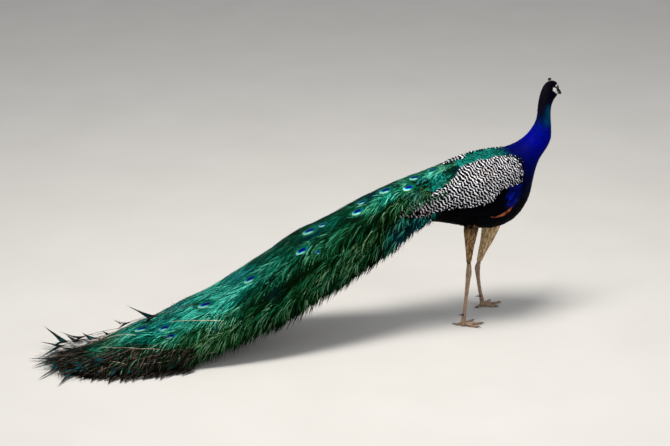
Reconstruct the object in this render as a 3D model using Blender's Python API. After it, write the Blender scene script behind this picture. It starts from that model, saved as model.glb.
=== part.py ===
"""A life-size peacock, a grown cock in full train, walking with its head turned to its left.

Metres, +Z up. The bird heads along +X with its left side at +Y, and z = 0 is the floor that its two
feet and the end of its train rest on. Profiles are given as (x, z) pairs measured from the point on
the floor midway between the feet. The last step moves the whole bird so that the origin is at the
bottom centre of its box.

Every soft length of the bird is a loft: closed rings of points, set out along a line and joined. The
axis of the body is one row of stations from the bill's root to the rump, each with a point on its
upper side, a point on its under side and a half width, and it is parted into lengths by thin cuts.
The wings are shells laid over the flanks of that row, and the train is an arch in six lengths that
starts over the rump and lies on the floor at its end.
"""

import math

import bmesh
import bpy
import numpy as np
from mathutils import Vector

GAP = 0.0003  # between touching pieces
SOCKET = 0.0006  # how far a neighbour is swelled before it cuts its socket

# ---------------------------------------------------------------- axis of the body
# (upper side, under side, half width, turn of the head in degrees), bill root first
NECK_AXIS_X = 0.247
HEAD_TURN = 27.0
STATIONS = (
    ((0.3150, 0.8000), (0.3110, 0.7750), 0.0078, 1.00),  # 0 root of the bill
    ((0.3088, 0.8140), (0.3020, 0.7680), 0.0124, 1.00),
    ((0.2965, 0.8240), (0.2930, 0.7620), 0.0157, 1.00),  # 2 eyes
    ((0.2790, 0.8290), (0.2850, 0.7560), 0.0174, 1.00),
    ((0.2605, 0.8275), (0.2790, 0.7490), 0.0180, 1.00),  # 4 crown
    ((0.2455, 0.8180), (0.2750, 0.7410), 0.0183, 1.00),
    ((0.2355, 0.8030), (0.2720, 0.7320), 0.0188, 1.00),
    ((0.2285, 0.7850), (0.2700, 0.7220), 0.0196, 0.97),
    ((0.2240, 0.7640), (0.2695, 0.7080), 0.0205, 0.88),  # 8 nape to throat
    ((0.2220, 0.7420), (0.2705, 0.6920), 0.0215, 0.72),
    ((0.2215, 0.7180), (0.2720, 0.6740), 0.0232, 0.52),
    ((0.2180, 0.6970), (0.2735, 0.6520), 0.0260, 0.33),
    ((0.2070, 0.6750), (0.2715, 0.6250), 0.0320, 0.18),
    ((0.1880, 0.6480), (0.2545, 0.5950), 0.0420, 0.07),
    ((0.1550, 0.6210), (0.2270, 0.5620), 0.0570, 0.00),  # 14 foot of the neck
    ((0.1100, 0.6050), (0.2090, 0.5200), 0.0750, 0.00),
    ((0.0600, 0.5980), (0.1970, 0.4680), 0.0900, 0.00),  # 16 shoulders
    ((0.0150, 0.5930), (0.1800, 0.4120), 0.1000, 0.00),
    ((-0.0300, 0.5850), (0.1350, 0.3560), 0.1060, 0.00),
    ((-0.0720, 0.5760), (0.0660, 0.3300), 0.1070, 0.00),  # 19 belly
    ((-0.1120, 0.5670), (-0.0180, 0.3380), 0.1030, 0.00),
    ((-0.1500, 0.5580), (-0.0980, 0.3600), 0.0960, 0.00),
    ((-0.1900, 0.5470), (-0.1900, 0.3800), 0.0880, 0.00),  # 22 loin, where the train starts
    ((-0.2500, 0.5320), (-0.2500, 0.3600), 0.0960, 0.00),  # from here on only the wings' bed
    ((-0.3200, 0.5120), (-0.3200, 0.3300), 0.1070, 0.00),
)
# (name, first station, last station, rings, points round)
LENGTHS = (
    ("head", 0, 8, 15, 18),
    ("neck_upper", 8, 10.5, 5, 18),
    ("neck_middle", 10.5, 12.5, 4, 18),
    ("neck_lower", 12.5, 14.5, 5, 20),
    ("breast", 14.5, 17, 6, 24),
    ("trunk", 17, 22, 10, 24),
)
BODY_FULLNESS = 0.90  # under 1 makes the rings squarer than an ellipse

# ---------------------------------------------------------------- face
BILL_CULMEN = ((0.3140, 0.7930), (0.3215, 0.7905), (0.3300, 0.7830), (0.3362, 0.7700))
BILL_GAPE = ((0.3123, 0.7822), (0.3200, 0.7790), (0.3290, 0.7735), (0.3350, 0.7686))
BILL_GONYS = ((0.3114, 0.7765), (0.3190, 0.7718), (0.3265, 0.7695), (0.3318, 0.7694))
BILL_HALF_WIDTHS = (0.0066, 0.0056, 0.0040, 0.0010)
EYE_AT = (0.2925, 0.8045)
EYE_SIDE = 0.0113  # from the middle of the head to the eye's centre
EYE_RADIUS = 0.0050
CREST_ROOT = (0.2690, 0.8270)
CREST_ROOT_LENGTH = 0.006
CREST_QUILLS = 9
CREST_HEIGHT = 0.0160
CREST_SPREAD = 56.0  # degrees from the first quill to the last
CREST_LEAN = 8.0  # the middle quill leans forward of upright
CREST_THICK = 0.0012
QUILL_WIDTH = 0.0008
CREST_WEB = 0.004  # how far up the quills are one
CREST_TIP = 0.0070  # length of the fan at the end of each quill
CREST_HALF_ROOT = 0.0036
CREST_PLUG = 0.0035  # how deep the root sits in the crown
CREST_ROUND = 0.14  # the outer quills are shorter by this share
CREST_STAGGER = 0.05  # and every other one by this
CREST_TIP_WIDTH = 0.0026

# ---------------------------------------------------------------- wings
WING_CLEAR = 0.0022  # between the flank and the shell
WING_ENDS = 0.35  # thickness of a shell's first and last rings, as a share of its full thickness
WING_EDGES = 0.45  # the same for its lower and upper edges
WING_TAPER = 5.0  # the ends are full within one part in this many of the shell's length
# (station, lower edge, upper edge) of the folded wing's three bands, as angles round the body in
# degrees from the belly: 90 is the side and 180 the middle of the back
SCAPULAR_BAND = (
    (14.9, 112, 126),
    (15.2, 104, 142),
    (15.6, 92, 152),
    (16.1, 84.5, 157),
    (16.5, 89, 159),
    (17.0, 96, 161),
    (18.0, 92, 161),
    (19.0, 89, 158),
    (19.7, 88, 144),
    (20.5, 86, 129),
    (21.2, 79, 119),
    (22.0, 68, 110),
    (22.8, 73, 107),
    (23.5, 88, 110),
    (23.9, 96, 109),
)
COVERT_BAND = (
    (16.0, 66, 78),
    (16.4, 62, 83),
    (17.0, 64, 92.5),
    (17.5, 69.5, 92),
    (18.0, 72.5, 90),
    (19.0, 74.5, 87),
    (20.0, 74.5, 85),
    (20.7, 74, 80),
)
FLIGHT_BAND = (
    (17.4, 60, 66),
    (18.0, 60, 70),
    (18.6, 61, 71.5),
    (19.3, 64, 72.5),
    (20.0, 65, 72.5),
    (20.8, 64, 71),
    (21.5, 61, 66),
)
# (name, band, thickness, columns)
WING_SHELLS = (
    ("scapulars", SCAPULAR_BAND, 0.0130, 6),
    ("coverts", COVERT_BAND, 0.0105, 4),
    ("flights", FLIGHT_BAND, 0.0080, 3),
)

# ---------------------------------------------------------------- rump, tail and train
RUMP_RINGS = (  # (x, upper side, under side, half width)
    (-0.1900, 0.4900, 0.3860, 0.0440),
    (-0.2400, 0.4740, 0.3800, 0.0450),
    (-0.2900, 0.4540, 0.3820, 0.0400),
    (-0.3200, 0.4420, 0.3900, 0.0280),
)
TAIL_RINGS = (  # (x, middle height, half width, thickness), the fan of true tail feathers
    (-0.3200, 0.4220, 0.0260, 0.0200),
    (-0.4200, 0.3700, 0.0480, 0.0150),
    (-0.5600, 0.2760, 0.0700, 0.0100),
    (-0.6900, 0.1880, 0.0820, 0.0060),
)
TAIL_DROOP = 0.022  # how far the fan's edges hang below its middle
TRAIN_RINGS = (  # (x, ridge height, half width, height of the edge, thickness at the ridge)
    (-0.1900, 0.5460, 0.0830, 0.4200, 0.0420),
    (-0.2500, 0.5310, 0.0900, 0.3880, 0.0420),
    (-0.3200, 0.5090, 0.1020, 0.3420, 0.0450),
    (-0.4200, 0.4670, 0.1240, 0.2920, 0.0500),
    (-0.5200, 0.4180, 0.1400, 0.2450, 0.0560),
    (-0.6200, 0.3790, 0.1540, 0.2040, 0.0600),
    (-0.7200, 0.3150, 0.1640, 0.1500, 0.0640),
    (-0.8200, 0.2540, 0.1700, 0.1040, 0.0700),
    (-0.9200, 0.1970, 0.1710, 0.0620, 0.0760),
    (-1.0200, 0.1640, 0.1640, 0.0340, 0.0800),
    (-1.1200, 0.1180, 0.1560, 0.0140, 0.0680),
    (-1.2100, 0.0960, 0.1450, 0.0000, 0.0600),
    (-1.2900, 0.0580, 0.1310, 0.0000, 0.0400),
    (-1.3600, 0.0380, 0.1100, 0.0000, 0.0260),
    (-1.4200, 0.0220, 0.0760, 0.0000, 0.0150),
)
# (name, first ring, last ring) of the three lengths
TRAIN_LENGTHS = (("train_upper", 0, 5), ("train_middle", 5, 9), ("train_lower", 9, 14))
TRAIN_FLANK = 0.026  # thickness of the arch beside its edges
TRAIN_POINTS = 6  # across each flank, from ridge to edge

# Swallow-tailed plumes round the end of the train: (root x, y, z), (fork x, y, z), length of the
# prongs, half angle between them in degrees, and how far their points curl up
PLUMES = (
    ((-1.36, -0.030, 0.020), (-1.490, -0.058, 0.004), 0.054, 36, 0.000),
    ((-1.37, 0.014, 0.020), (-1.515, 0.020, 0.008), 0.058, 34, 0.004),
    ((-1.36, 0.050, 0.022), (-1.480, 0.096, 0.026), 0.060, 34, 0.032),
    ((-1.33, -0.072, 0.018), (-1.415, -0.122, 0.004), 0.050, 34, 0.000),
    ((-1.32, 0.085, 0.024), (-1.395, 0.150, 0.030), 0.056, 34, 0.036),
    ((-1.26, -0.104, 0.016), (-1.335, -0.155, 0.004), 0.048, 34, 0.000),
    ((-1.24, 0.106, 0.030), (-1.305, 0.178, 0.034), 0.052, 34, 0.030),
    ((-1.18, -0.122, 0.016), (-1.245, -0.172, 0.004), 0.044, 34, 0.000),
    ((-1.13, 0.128, 0.036), (-1.205, 0.184, 0.034), 0.048, 34, 0.020),
    ((-1.09, -0.134, 0.018), (-1.150, -0.180, 0.005), 0.042, 34, 0.000),
)
PLUME_THICK = 0.0016
PLUME_SHAFT = 0.0022  # half width of the bare shaft
PLUME_VANE = 0.0105  # half width where the vane forks
PLUME_STEPS = 5
PLUME_NOTCH = 0.004  # how far the fork's notch lies beyond its corners
PLUME_BOW = 0.16  # sideways bow of a prong, as a share of its length
PLUME_POINT = 0.0006  # half width of a prong's end

# ---------------------------------------------------------------- legs
# Each leg: the thigh's line with its fore-and-aft and sideways radii, then the shank's line with its
# radius, and where the toes meet
RIGHT_THIGH = (
    ((-0.030, -0.054, 0.415), 0.037, 0.026),
    ((-0.039, -0.064, 0.352), 0.028, 0.025),
    ((-0.043, -0.067, 0.304), 0.0195, 0.0180),
    ((-0.045, -0.068, 0.264), 0.0136, 0.0124),
    ((-0.046, -0.068, 0.226), 0.0098, 0.0092),
)
LEFT_THIGH = (
    ((0.097, 0.050, 0.395), 0.040, 0.026),
    ((0.091, 0.062, 0.328), 0.039, 0.027),
    ((0.077, 0.066, 0.262), 0.0275, 0.0215),
    ((0.058, 0.068, 0.210), 0.0165, 0.0140),
    ((0.045, 0.068, 0.170), 0.0098, 0.0092),
)
RIGHT_SHANK = (
    ((-0.0460, -0.0680, 0.2260), 0.0078),
    ((-0.0455, -0.0682, 0.2080), 0.0090),
    ((-0.0460, -0.0686, 0.1860), 0.0106),
    ((-0.0490, -0.0692, 0.1600), 0.0082),
    ((-0.0550, -0.0712, 0.0950), 0.0066),
    ((-0.0608, -0.0736, 0.0500), 0.0068),
    ((-0.0640, -0.0755, 0.0260), 0.0084),
    ((-0.0655, -0.0765, 0.0120), 0.0078),
)
LEFT_SHANK = (
    ((0.0450, 0.0680, 0.1700), 0.0078),
    ((0.0420, 0.0682, 0.1600), 0.0090),
    ((0.0405, 0.0685, 0.1480), 0.0104),
    ((0.0415, 0.0685, 0.1320), 0.0084),
    ((0.0475, 0.0690, 0.0880), 0.0066),
    ((0.0550, 0.0696, 0.0500), 0.0068),
    ((0.0605, 0.0700, 0.0260), 0.0084),
    ((0.0625, 0.0700, 0.0120), 0.0078),
)
FOOT_TURN = 6.0  # degrees that each foot points outward
SHANK_FLATTEN = 0.86  # side to side
# (name, angle outward in degrees, length, radius at the root, radius at the tip)
TOES = (
    ("middle", 0, 0.062, 0.0070, 0.0044),
    ("outer", 34, 0.050, 0.0065, 0.0041),
    ("inner", -36, 0.046, 0.0065, 0.0041),
    ("hind", -160, 0.026, 0.0054, 0.0036),
)
TOE_HUMP = 0.0085  # height of the toe's middle line where it leaves the foot
HIND_TOE_HUMP = 0.0170
TOE_LOW = 0.0042  # and where it lies along the floor
TOE_RINGS = 6
TOE_PAD = 0.10  # how far the pads under the joints swell it
PAD_ROW = 13.0  # radians of the pads' wave along the toe
CLAW_LENGTH = 0.0150
CLAW_ARCH = 0.0022
CLAW_TIP_HEIGHT = 0.0016
CLAW_LOWEST = 0.0006
SPUR_LENGTH = 0.021
SPUR_RADIUS = 0.0042
SPUR_STATION = 5.35  # of the shank's line
BALL_RADIUS = 0.0100

# ---------------------------------------------------------------- materials: colour, roughness, metal
FINISHES = {
    "feather_blue": ((0.010, 0.030, 0.300), 0.40, 0.2),
    "feather_black": ((0.012, 0.014, 0.030), 0.50, 0.1),
    "feather_barred": ((0.500, 0.460, 0.440), 0.60, 0.0),
    "feather_night_blue": ((0.010, 0.012, 0.090), 0.40, 0.2),
    "feather_chestnut": ((0.420, 0.150, 0.045), 0.55, 0.0),
    "feather_green": ((0.010, 0.220, 0.130), 0.40, 0.3),
    "feather_brown": ((0.120, 0.080, 0.055), 0.60, 0.0),
    "feather_buff": ((0.480, 0.360, 0.260), 0.70, 0.0),
    "leg_scale": ((0.330, 0.270, 0.240), 0.55, 0.0),
    "horn": ((0.060, 0.050, 0.045), 0.35, 0.0),
    "eye": ((0.035, 0.015, 0.008), 0.08, 0.0),
}


def clear_scene():
    for thing in list(bpy.data.objects):
        bpy.data.objects.remove(thing, do_unlink=True)


def finish(name):
    """The material of this name, made on first use."""
    found = bpy.data.materials.get(name)
    if found:
        return found
    colour, roughness, metal = FINISHES[name]
    made = bpy.data.materials.new(name)
    made.use_nodes = True
    shader = made.node_tree.nodes["Principled BSDF"]
    shader.inputs["Base Color"].default_value = (*colour, 1.0)
    shader.inputs["Roughness"].default_value = roughness
    shader.inputs["Metallic"].default_value = metal
    return made


def add_object(name, points, faces, look):
    """A mesh object from points and faces, smooth but for its sharp edges."""
    mesh = bpy.data.meshes.new(name)
    mesh.from_pydata([tuple(map(float, point)) for point in points], [], faces)
    mesh.validate()
    shape = bmesh.new()
    shape.from_mesh(mesh)
    bmesh.ops.recalc_face_normals(shape, faces=shape.faces)
    shape.to_mesh(mesh)
    shape.free()
    mesh.shade_smooth()
    mesh.set_sharp_from_angle(angle=math.radians(50))
    mesh.materials.append(finish(look))
    thing = bpy.data.objects.new(name, mesh)
    bpy.context.scene.collection.objects.link(thing)
    return thing


def loft(name, rings, look):
    """A closed solid through rings that all have the same number of points."""
    around = len(rings[0])
    points = [point for ring in rings for point in ring]
    faces = [tuple(range(around))]
    for ring in range(len(rings) - 1):
        here = ring * around
        for step in range(around):
            after = (step + 1) % around
            faces.append((here + step, here + after, here + around + after, here + around + step))
    last = (len(rings) - 1) * around
    faces.append(tuple(last + step for step in reversed(range(around))))
    return add_object(name, points, faces, look)


def smooth_row(rows, at):
    """The row at a fractional place in a table, on a smooth curve through the table's rows."""
    table = np.asarray(rows, dtype=float)
    at = min(max(at, 0.0), len(table) - 1.0)
    low = min(int(at), len(table) - 2)
    t = at - low
    before = table[low - 1] if low else 2 * table[0] - table[1]
    after = table[low + 2] if low + 2 < len(table) else 2 * table[-1] - table[-2]
    start, end = table[low], table[low + 1]
    rise = (end - before) / 2
    fall = (after - start) / 2
    return (
        start * (2 * t**3 - 3 * t**2 + 1)
        + rise * (t**3 - 2 * t**2 + t)
        + end * (3 * t**2 - 2 * t**3)
        + fall * (t**3 - t**2)
    )


STATION_TABLE = [(*upper, *under, width, turn) for upper, under, width, turn in STATIONS]


def turned(x, y, z, share):
    """A point of the profile, turned with the head by a share of its turn."""
    angle = math.radians(HEAD_TURN * share)
    along = x - NECK_AXIS_X
    return np.array(
        (
            NECK_AXIS_X + along * math.cos(angle) - y * math.sin(angle),
            along * math.sin(angle) + y * math.cos(angle),
            z,
        )
    )


def body_frame(station):
    """Middle, half chord, half width vector and forward normal of the body's ring at a station."""
    upper_x, upper_z, under_x, under_z, width, turn = smooth_row(STATION_TABLE, station)
    upper = turned(upper_x, 0, upper_z, turn)
    under = turned(under_x, 0, under_z, turn)
    side = turned(NECK_AXIS_X, 1, 0, turn) - turned(NECK_AXIS_X, 0, 0, turn)
    chord = (upper - under) / 2
    normal = np.cross(side, chord)
    return (upper + under) / 2, chord, side * width, normal / np.linalg.norm(normal)


def body_point(station, degrees, side=1, lift=0.0):
    """A point on the body: 0 degrees is the belly, 90 the side and 180 the back."""
    middle, chord, half_width, _ = body_frame(station)
    high = np.linalg.norm(chord)
    wide = np.linalg.norm(half_width)
    angle = math.radians(degrees)
    across = math.copysign(abs(math.sin(angle)) ** BODY_FULLNESS, math.sin(angle))
    up = -math.copysign(abs(math.cos(angle)) ** BODY_FULLNESS, math.cos(angle))
    return middle + chord * up * (1 + lift / high) + half_width * across * side * (1 + lift / wide)


def body_ring(station, around, shift=0.0):
    ring = [body_point(station, 360.0 * step / around) for step in range(around)]
    return [point + body_frame(station)[3] * shift for point in ring]


def body_lengths():
    """Head, neck, breast and trunk, parted by thin plane cuts."""
    looks = {"head": "feather_blue", "trunk": "feather_black", "breast": "feather_night_blue"}
    for name, first, last, rings, around in LENGTHS:
        stations = np.linspace(first, last, rings)
        row = [body_ring(station, around) for station in stations]
        if first:
            row[0] = body_ring(first, around, -GAP)
        loft(name, row, looks.get(name, "feather_blue"))


def swelled(thing, by):
    """A hidden copy of a piece, grown by a hair, that cuts the socket the piece sits in."""
    cutter = bpy.data.objects.new(thing.name + "_cutter", thing.data.copy())
    bpy.context.scene.collection.objects.link(cutter)
    cutter.hide_render = True
    cutter.display_type = "WIRE"
    grow = cutter.modifiers.new("grow", "DISPLACE")
    grow.strength = by
    grow.mid_level = 0.0
    return cutter


def socket(host, piece):
    cut = host.modifiers.new("socket_" + piece.name, "BOOLEAN")
    cut.operation = "DIFFERENCE"
    cut.solver = "EXACT"
    cut.object = swelled(piece, SOCKET)


def united(first, others):
    """The first solid with the others joined to it, and the others hidden."""
    for other in others:
        join = first.modifiers.new("join_" + other.name, "BOOLEAN")
        join.operation = "UNION"
        join.solver = "EXACT"
        join.object = other
        other.hide_render = True
        other.display_type = "WIRE"
    return first


# ---------------------------------------------------------------- face


def bill_half(name, edge, rise):
    """One half of the bill: flat on the gape, round towards its outer edge, which is its own row."""
    rings = []
    for at in np.linspace(0, 3, 7):
        edge_x, edge_z = smooth_row(edge, at)
        gape_x, gape_z = smooth_row(BILL_GAPE, at)
        width = float(smooth_row([(w,) for w in BILL_HALF_WIDTHS], at)[0])
        ring = []
        for angle in np.linspace(0, math.pi, 7):
            lift = math.sin(angle) ** 0.8
            x = gape_x + (edge_x - gape_x) * lift
            z = gape_z + (edge_z - gape_z) * lift + rise * GAP
            ring.append(turned(x + GAP, width * math.cos(angle), z, 1.0))
        rings.append(ring)
    return loft(name, rings, "horn")


def make_eye(name, side):
    bpy.ops.mesh.primitive_uv_sphere_add(segments=10, ring_count=7, radius=EYE_RADIUS)
    eye = bpy.context.object
    eye.name = eye.data.name = name
    eye.data.shade_smooth()
    eye.data.materials.append(finish("eye"))
    eye.location = Vector(turned(EYE_AT[0], side * EYE_SIDE, EYE_AT[1], 1.0))
    bpy.context.view_layer.update()
    eye.data.transform(eye.matrix_world)
    eye.location = (0, 0, 0)
    return eye


def make_crest():
    """A comb of bare quills on one root, each ending in a little fan, cut from a thin plate."""
    outline = [(-CREST_HALF_ROOT, -CREST_PLUG)]
    for quill in range(CREST_QUILLS):
        share = quill / (CREST_QUILLS - 1) - 0.5
        lean = math.radians(share * CREST_SPREAD + CREST_LEAN)
        short = CREST_ROUND * (2 * share) ** 2 + CREST_STAGGER * (quill % 2)
        reach = CREST_HEIGHT * (1.0 - short)
        along = np.array((math.sin(lean), math.cos(lean)))
        across = np.array((math.cos(lean), -math.sin(lean)))
        root = np.array((share * CREST_ROOT_LENGTH, 0.0))
        fan = reach - CREST_TIP
        steps = (
            (CREST_WEB, QUILL_WIDTH / 2),
            (fan, QUILL_WIDTH / 2),
            (fan + CREST_TIP * 0.7, CREST_TIP_WIDTH / 2),
            (reach, CREST_TIP_WIDTH / 5),
        )
        outline += [tuple(root + along * length - across * half) for length, half in steps]
        outline += [tuple(root + along * length + across * half) for length, half in reversed(steps)]
    outline.append((CREST_HALF_ROOT, -CREST_PLUG))
    count = len(outline)
    points = [
        turned(CREST_ROOT[0] + x, side * CREST_THICK, CREST_ROOT[1] + z, 1.0)
        for side in (-0.5, 0.5)
        for x, z in outline
    ]
    faces = [tuple(range(count)), tuple(reversed(range(count, 2 * count)))]
    for step in range(count):
        after = (step + 1) % count
        faces.append((step, after, count + after, count + step))
    return add_object("crest", points, faces, "feather_blue")


def make_face():
    head = bpy.data.objects["head"]
    bill_half("bill_upper", BILL_CULMEN, 0.5)
    bill_half("bill_lower", BILL_GONYS, -0.5)
    for name, side in (("eye_right", -1), ("eye_left", 1)):
        socket(head, make_eye(name, side))
    socket(head, make_crest())


# ---------------------------------------------------------------- wings


def wing_shell(name, band, thick, columns, side, look):
    """A band of the folded wing, laid over the flank from its lower edge to its upper edge."""
    rings = []
    count = 2 * len(band) - 1
    for at in np.linspace(0, len(band) - 1, count):
        station, low, high = smooth_row(band, at)
        end = min(at, len(band) - 1 - at) / (len(band) - 1)
        depth = thick * (WING_ENDS + (1 - WING_ENDS) * min(1.0, end * WING_TAPER))
        outer, inner = [], []
        for column in np.linspace(0, 1, columns):
            degrees = low + (high - low) * column
            crown = WING_EDGES + (1 - WING_EDGES) * math.sin(math.pi * column)
            outer.append(body_point(station, degrees, side, WING_CLEAR + depth * crown))
            inner.append(body_point(station, degrees, side, WING_CLEAR))
        rings.append(outer + inner[::-1])
    return loft(name, rings, look)


def make_wings():
    looks = ("feather_barred", "feather_night_blue", "feather_chestnut")
    for hand, side in (("right", -1), ("left", 1)):
        for (name, band, thick, columns), look in zip(WING_SHELLS, looks):
            shell = wing_shell(f"wing_{hand}_{name}", band, thick, columns, side, look)
            if name != "coverts":
                socket(bpy.data.objects[f"train_upper_{hand}"], shell)


# ---------------------------------------------------------------- rump, tail and train


def make_rump():
    """The stump that the tail and the train grow from, hidden under the arch."""
    rings = []
    for at in np.linspace(0, len(RUMP_RINGS) - 1, 5):
        x, upper, under, width = smooth_row(RUMP_RINGS, at)
        if not rings:
            x -= GAP
        middle, half = (upper + under) / 2, (upper - under) / 2
        turns = np.linspace(0, 2 * math.pi, 14, endpoint=False)
        rings.append([(x, width * math.sin(a), middle - half * math.cos(a)) for a in turns])
    loft("rump", rings, "feather_brown")


def make_tail():
    """The short true tail under the train: a shallow fan, drooping to both sides."""
    rings = []
    columns = np.linspace(-1, 1, 7)
    for at in np.linspace(0, len(TAIL_RINGS) - 1, 6):
        x, height, width, thick = smooth_row(TAIL_RINGS, at)
        if not rings:
            x -= GAP
        upper = [(x, c * width, height - TAIL_DROOP * c * c + thick / 2) for c in columns]
        under = [(x, c * width, height - TAIL_DROOP * c * c - thick / 2) for c in columns]
        rings.append(upper + under[::-1])
    loft("tail", rings, "feather_brown")


def train_section(at, side, shift=0.0):
    """One flank of the arch: over the outside from ridge to edge, and back along the inside."""
    x, ridge, width, edge, crown = smooth_row(TRAIN_RINGS, at)
    edge = max(edge, 0.0)
    flank = min(TRAIN_FLANK, 0.5 * width)
    outer, inner = [], []
    for angle in np.linspace(0, math.pi / 2, TRAIN_POINTS):
        across, down = math.sin(angle) ** 0.95, math.cos(angle) ** 0.80
        outer.append((across * width, edge + (ridge - edge) * down))
        inner.append((across * (width - flank), edge + (ridge - crown - edge) * down))
    section = outer + inner[::-1]
    return [(x + shift, side * (y + GAP / 2), z) for y, z in section]


def make_train():
    for name, first, last in TRAIN_LENGTHS:
        rings = np.arange(first, last + 1)
        for hand, side in (("right", -1), ("left", 1)):
            row = [train_section(at, side, -GAP if at == first else 0.0) for at in rings]
            loft(f"{name}_{hand}", row, "feather_green")


def plume(name, root, fork, prong, spread, curl):
    """A swallow-tailed plume: a shaft that widens to a fork with two tapering prongs."""
    root, fork = Vector(root), Vector(fork)
    forward = (fork - root).normalized()
    across = forward.cross(Vector((0, 0, 1))).normalized()
    left, right = [], []
    for step in range(PLUME_STEPS + 1):
        share = step / PLUME_STEPS
        middle = root.lerp(fork, share)
        half = PLUME_SHAFT + (PLUME_VANE - PLUME_SHAFT) * share**2
        left.append(middle + across * half)
        right.append(middle - across * half)
    notch = fork + forward * PLUME_NOTCH
    rows = []
    for side, edge in ((1, left[-1]), (-1, right[-1])):
        turn = math.radians(spread) * side
        level = Vector((forward.x, forward.y, 0)).normalized()
        way = level * math.cos(turn) + across * math.sin(turn)
        row = [(edge, notch)]
        for share in (0.35, 0.7, 1.0):
            bow = across * side * prong * PLUME_BOW * share * (1 - share)
            lift = Vector((0, 0, curl * share**2))
            middle = (edge + notch) / 2 + way * prong * share + bow + lift
            half = across * side * (PLUME_VANE / 2 * (1 - share) + PLUME_POINT)
            row.append((middle + half, middle - half))
        rows.append(row)
    points, faces = [], []
    where = {}

    def index(place):
        key = tuple(round(value, 7) for value in place)
        if key not in where:
            where[key] = len(points)
            points.append(key)
        return where[key]

    for step in range(PLUME_STEPS):
        quad = (left[step], left[step + 1], right[step + 1], right[step])
        faces.append(tuple(index(place) for place in quad))
    faces.append(tuple(index(place) for place in (left[-1], notch, right[-1])))
    for row in rows:
        for (outer, inner), (next_outer, next_inner) in zip(row, row[1:]):
            quad = (outer, next_outer, next_inner, inner)
            faces.append(tuple(index(place) for place in quad))
    flat = add_object(name, points, faces, "feather_night_blue")
    thicken = flat.modifiers.new("thickness", "SOLIDIFY")
    thicken.thickness = PLUME_THICK
    thicken.offset = 0.0
    thicken.use_even_offset = True
    return flat


def make_plumes():
    for number, (root, fork, prong, spread, curl) in enumerate(PLUMES, 1):
        made = plume(f"train_plume_{number:02d}", root, fork, prong, spread, curl)
        host = bpy.data.objects["train_lower_right" if root[1] < 0 else "train_lower_left"]
        plug = swelled(made, 0.0)
        plug.name = made.name + "_plug"
        plug.modifiers.clear()
        thicken = plug.modifiers.new("thickness", "SOLIDIFY")
        thicken.thickness = PLUME_THICK + 2 * SOCKET
        thicken.offset = 0.0
        grow = plug.modifiers.new("grow", "DISPLACE")
        grow.strength = SOCKET
        grow.mid_level = 0.0
        cut = host.modifiers.new("socket_" + made.name, "BOOLEAN")
        cut.operation = "DIFFERENCE"
        cut.solver = "EXACT"
        cut.object = plug


# ---------------------------------------------------------------- legs


def tube(name, line, radii, around, look, floor=None, flatten=1.0):
    """A loft of rings square to a line. Points below the floor, if there is one, rest on it."""
    line = [np.array(place, dtype=float) for place in line]
    rings = []
    for step, middle in enumerate(line):
        ahead = line[min(step + 1, len(line) - 1)] - line[max(step - 1, 0)]
        ahead /= np.linalg.norm(ahead)
        side = np.cross(ahead, (0, 0, 1) if abs(ahead[2]) < 0.8 else (1, 0, 0))
        side /= np.linalg.norm(side)
        up = np.cross(side, ahead)
        fore, wide = radii[step] if isinstance(radii[step], tuple) else (radii[step],) * 2
        ring = []
        for angle in np.linspace(0, 2 * math.pi, around, endpoint=False):
            place = middle + side * wide * flatten * math.cos(angle) + up * fore * math.sin(angle)
            if floor is not None:
                place[2] = max(place[2], floor)
            ring.append(place)
        rings.append(ring)
    return loft(name, rings, look)


def thigh(name, rows):
    places = [row[0] for row in rows]
    steps = np.linspace(0, len(rows) - 1, 8)
    line = [smooth_row(places, at) for at in steps]
    sizes = [tuple(smooth_row([row[1:] for row in rows], at)) for at in steps]
    rings = []
    for middle, (fore, wide) in zip(line, sizes):
        turns = np.linspace(0, 2 * math.pi, 14, endpoint=False)
        ring = [middle + np.array((fore * math.cos(a), wide * math.sin(a), 0)) for a in turns]
        rings.append(ring)
    return loft(name, rings, "feather_buff")


def shank(name, rows):
    places = [row[0] for row in rows]
    steps = np.linspace(0, len(rows) - 1, 11)
    rings = []
    for at in steps:
        middle = smooth_row(places, at)
        radius = float(smooth_row([(row[1],) for row in rows], at)[0])
        turns = np.linspace(0, 2 * math.pi, 10, endpoint=False)
        ring = [
            middle + radius * np.array((math.cos(a), SHANK_FLATTEN * math.sin(a), 0)) for a in turns
        ]
        rings.append(ring)
    rings[0] = [point - np.array((0, 0, GAP)) for point in rings[0]]
    return loft(name, rings, "leg_scale")


def toe_line(root, heading, length, hump):
    """The middle line of a toe: it leaves the foot high, comes down, and lies along the floor."""
    along = np.array((math.cos(heading), math.sin(heading), 0))
    line = []
    for share in np.linspace(0, 1, TOE_RINGS):
        height = TOE_LOW + (hump - TOE_LOW) * (1 - share) ** 2
        line.append(np.array((root[0], root[1], 0)) + along * length * share + (0, 0, height))
    return line, along


def make_foot(hand, side, root):
    """Four toes on one ball, each with its claw, and the spur's leg above it."""
    ball = tube(
        f"foot_{hand}",
        [(root[0], root[1], z) for z in (0.0, 0.004, 0.011, 0.016)],
        [BALL_RADIUS * 0.8, BALL_RADIUS, BALL_RADIUS * 0.9, BALL_RADIUS * 0.55],
        10,
        "leg_scale",
    )
    toes = []
    for name, outward, length, thick, thin in TOES:
        heading = math.radians(side * (FOOT_TURN + outward))
        hump = HIND_TOE_HUMP if name == "hind" else TOE_HUMP
        line, along = toe_line(root, heading, length, hump)
        radii = [
            (thick + (thin - thick) * share) * (1 + TOE_PAD * math.cos(share * PAD_ROW))
            for share in np.linspace(0, 1, TOE_RINGS)
        ]
        toes.append(tube(f"toe_{hand}_{name}", line, radii, 8, "leg_scale", floor=0.0))
        claw(f"claw_{hand}_{name}", line[-1], along, line[-1] - line[-2], radii[-1])
    return united(ball, toes)


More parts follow.
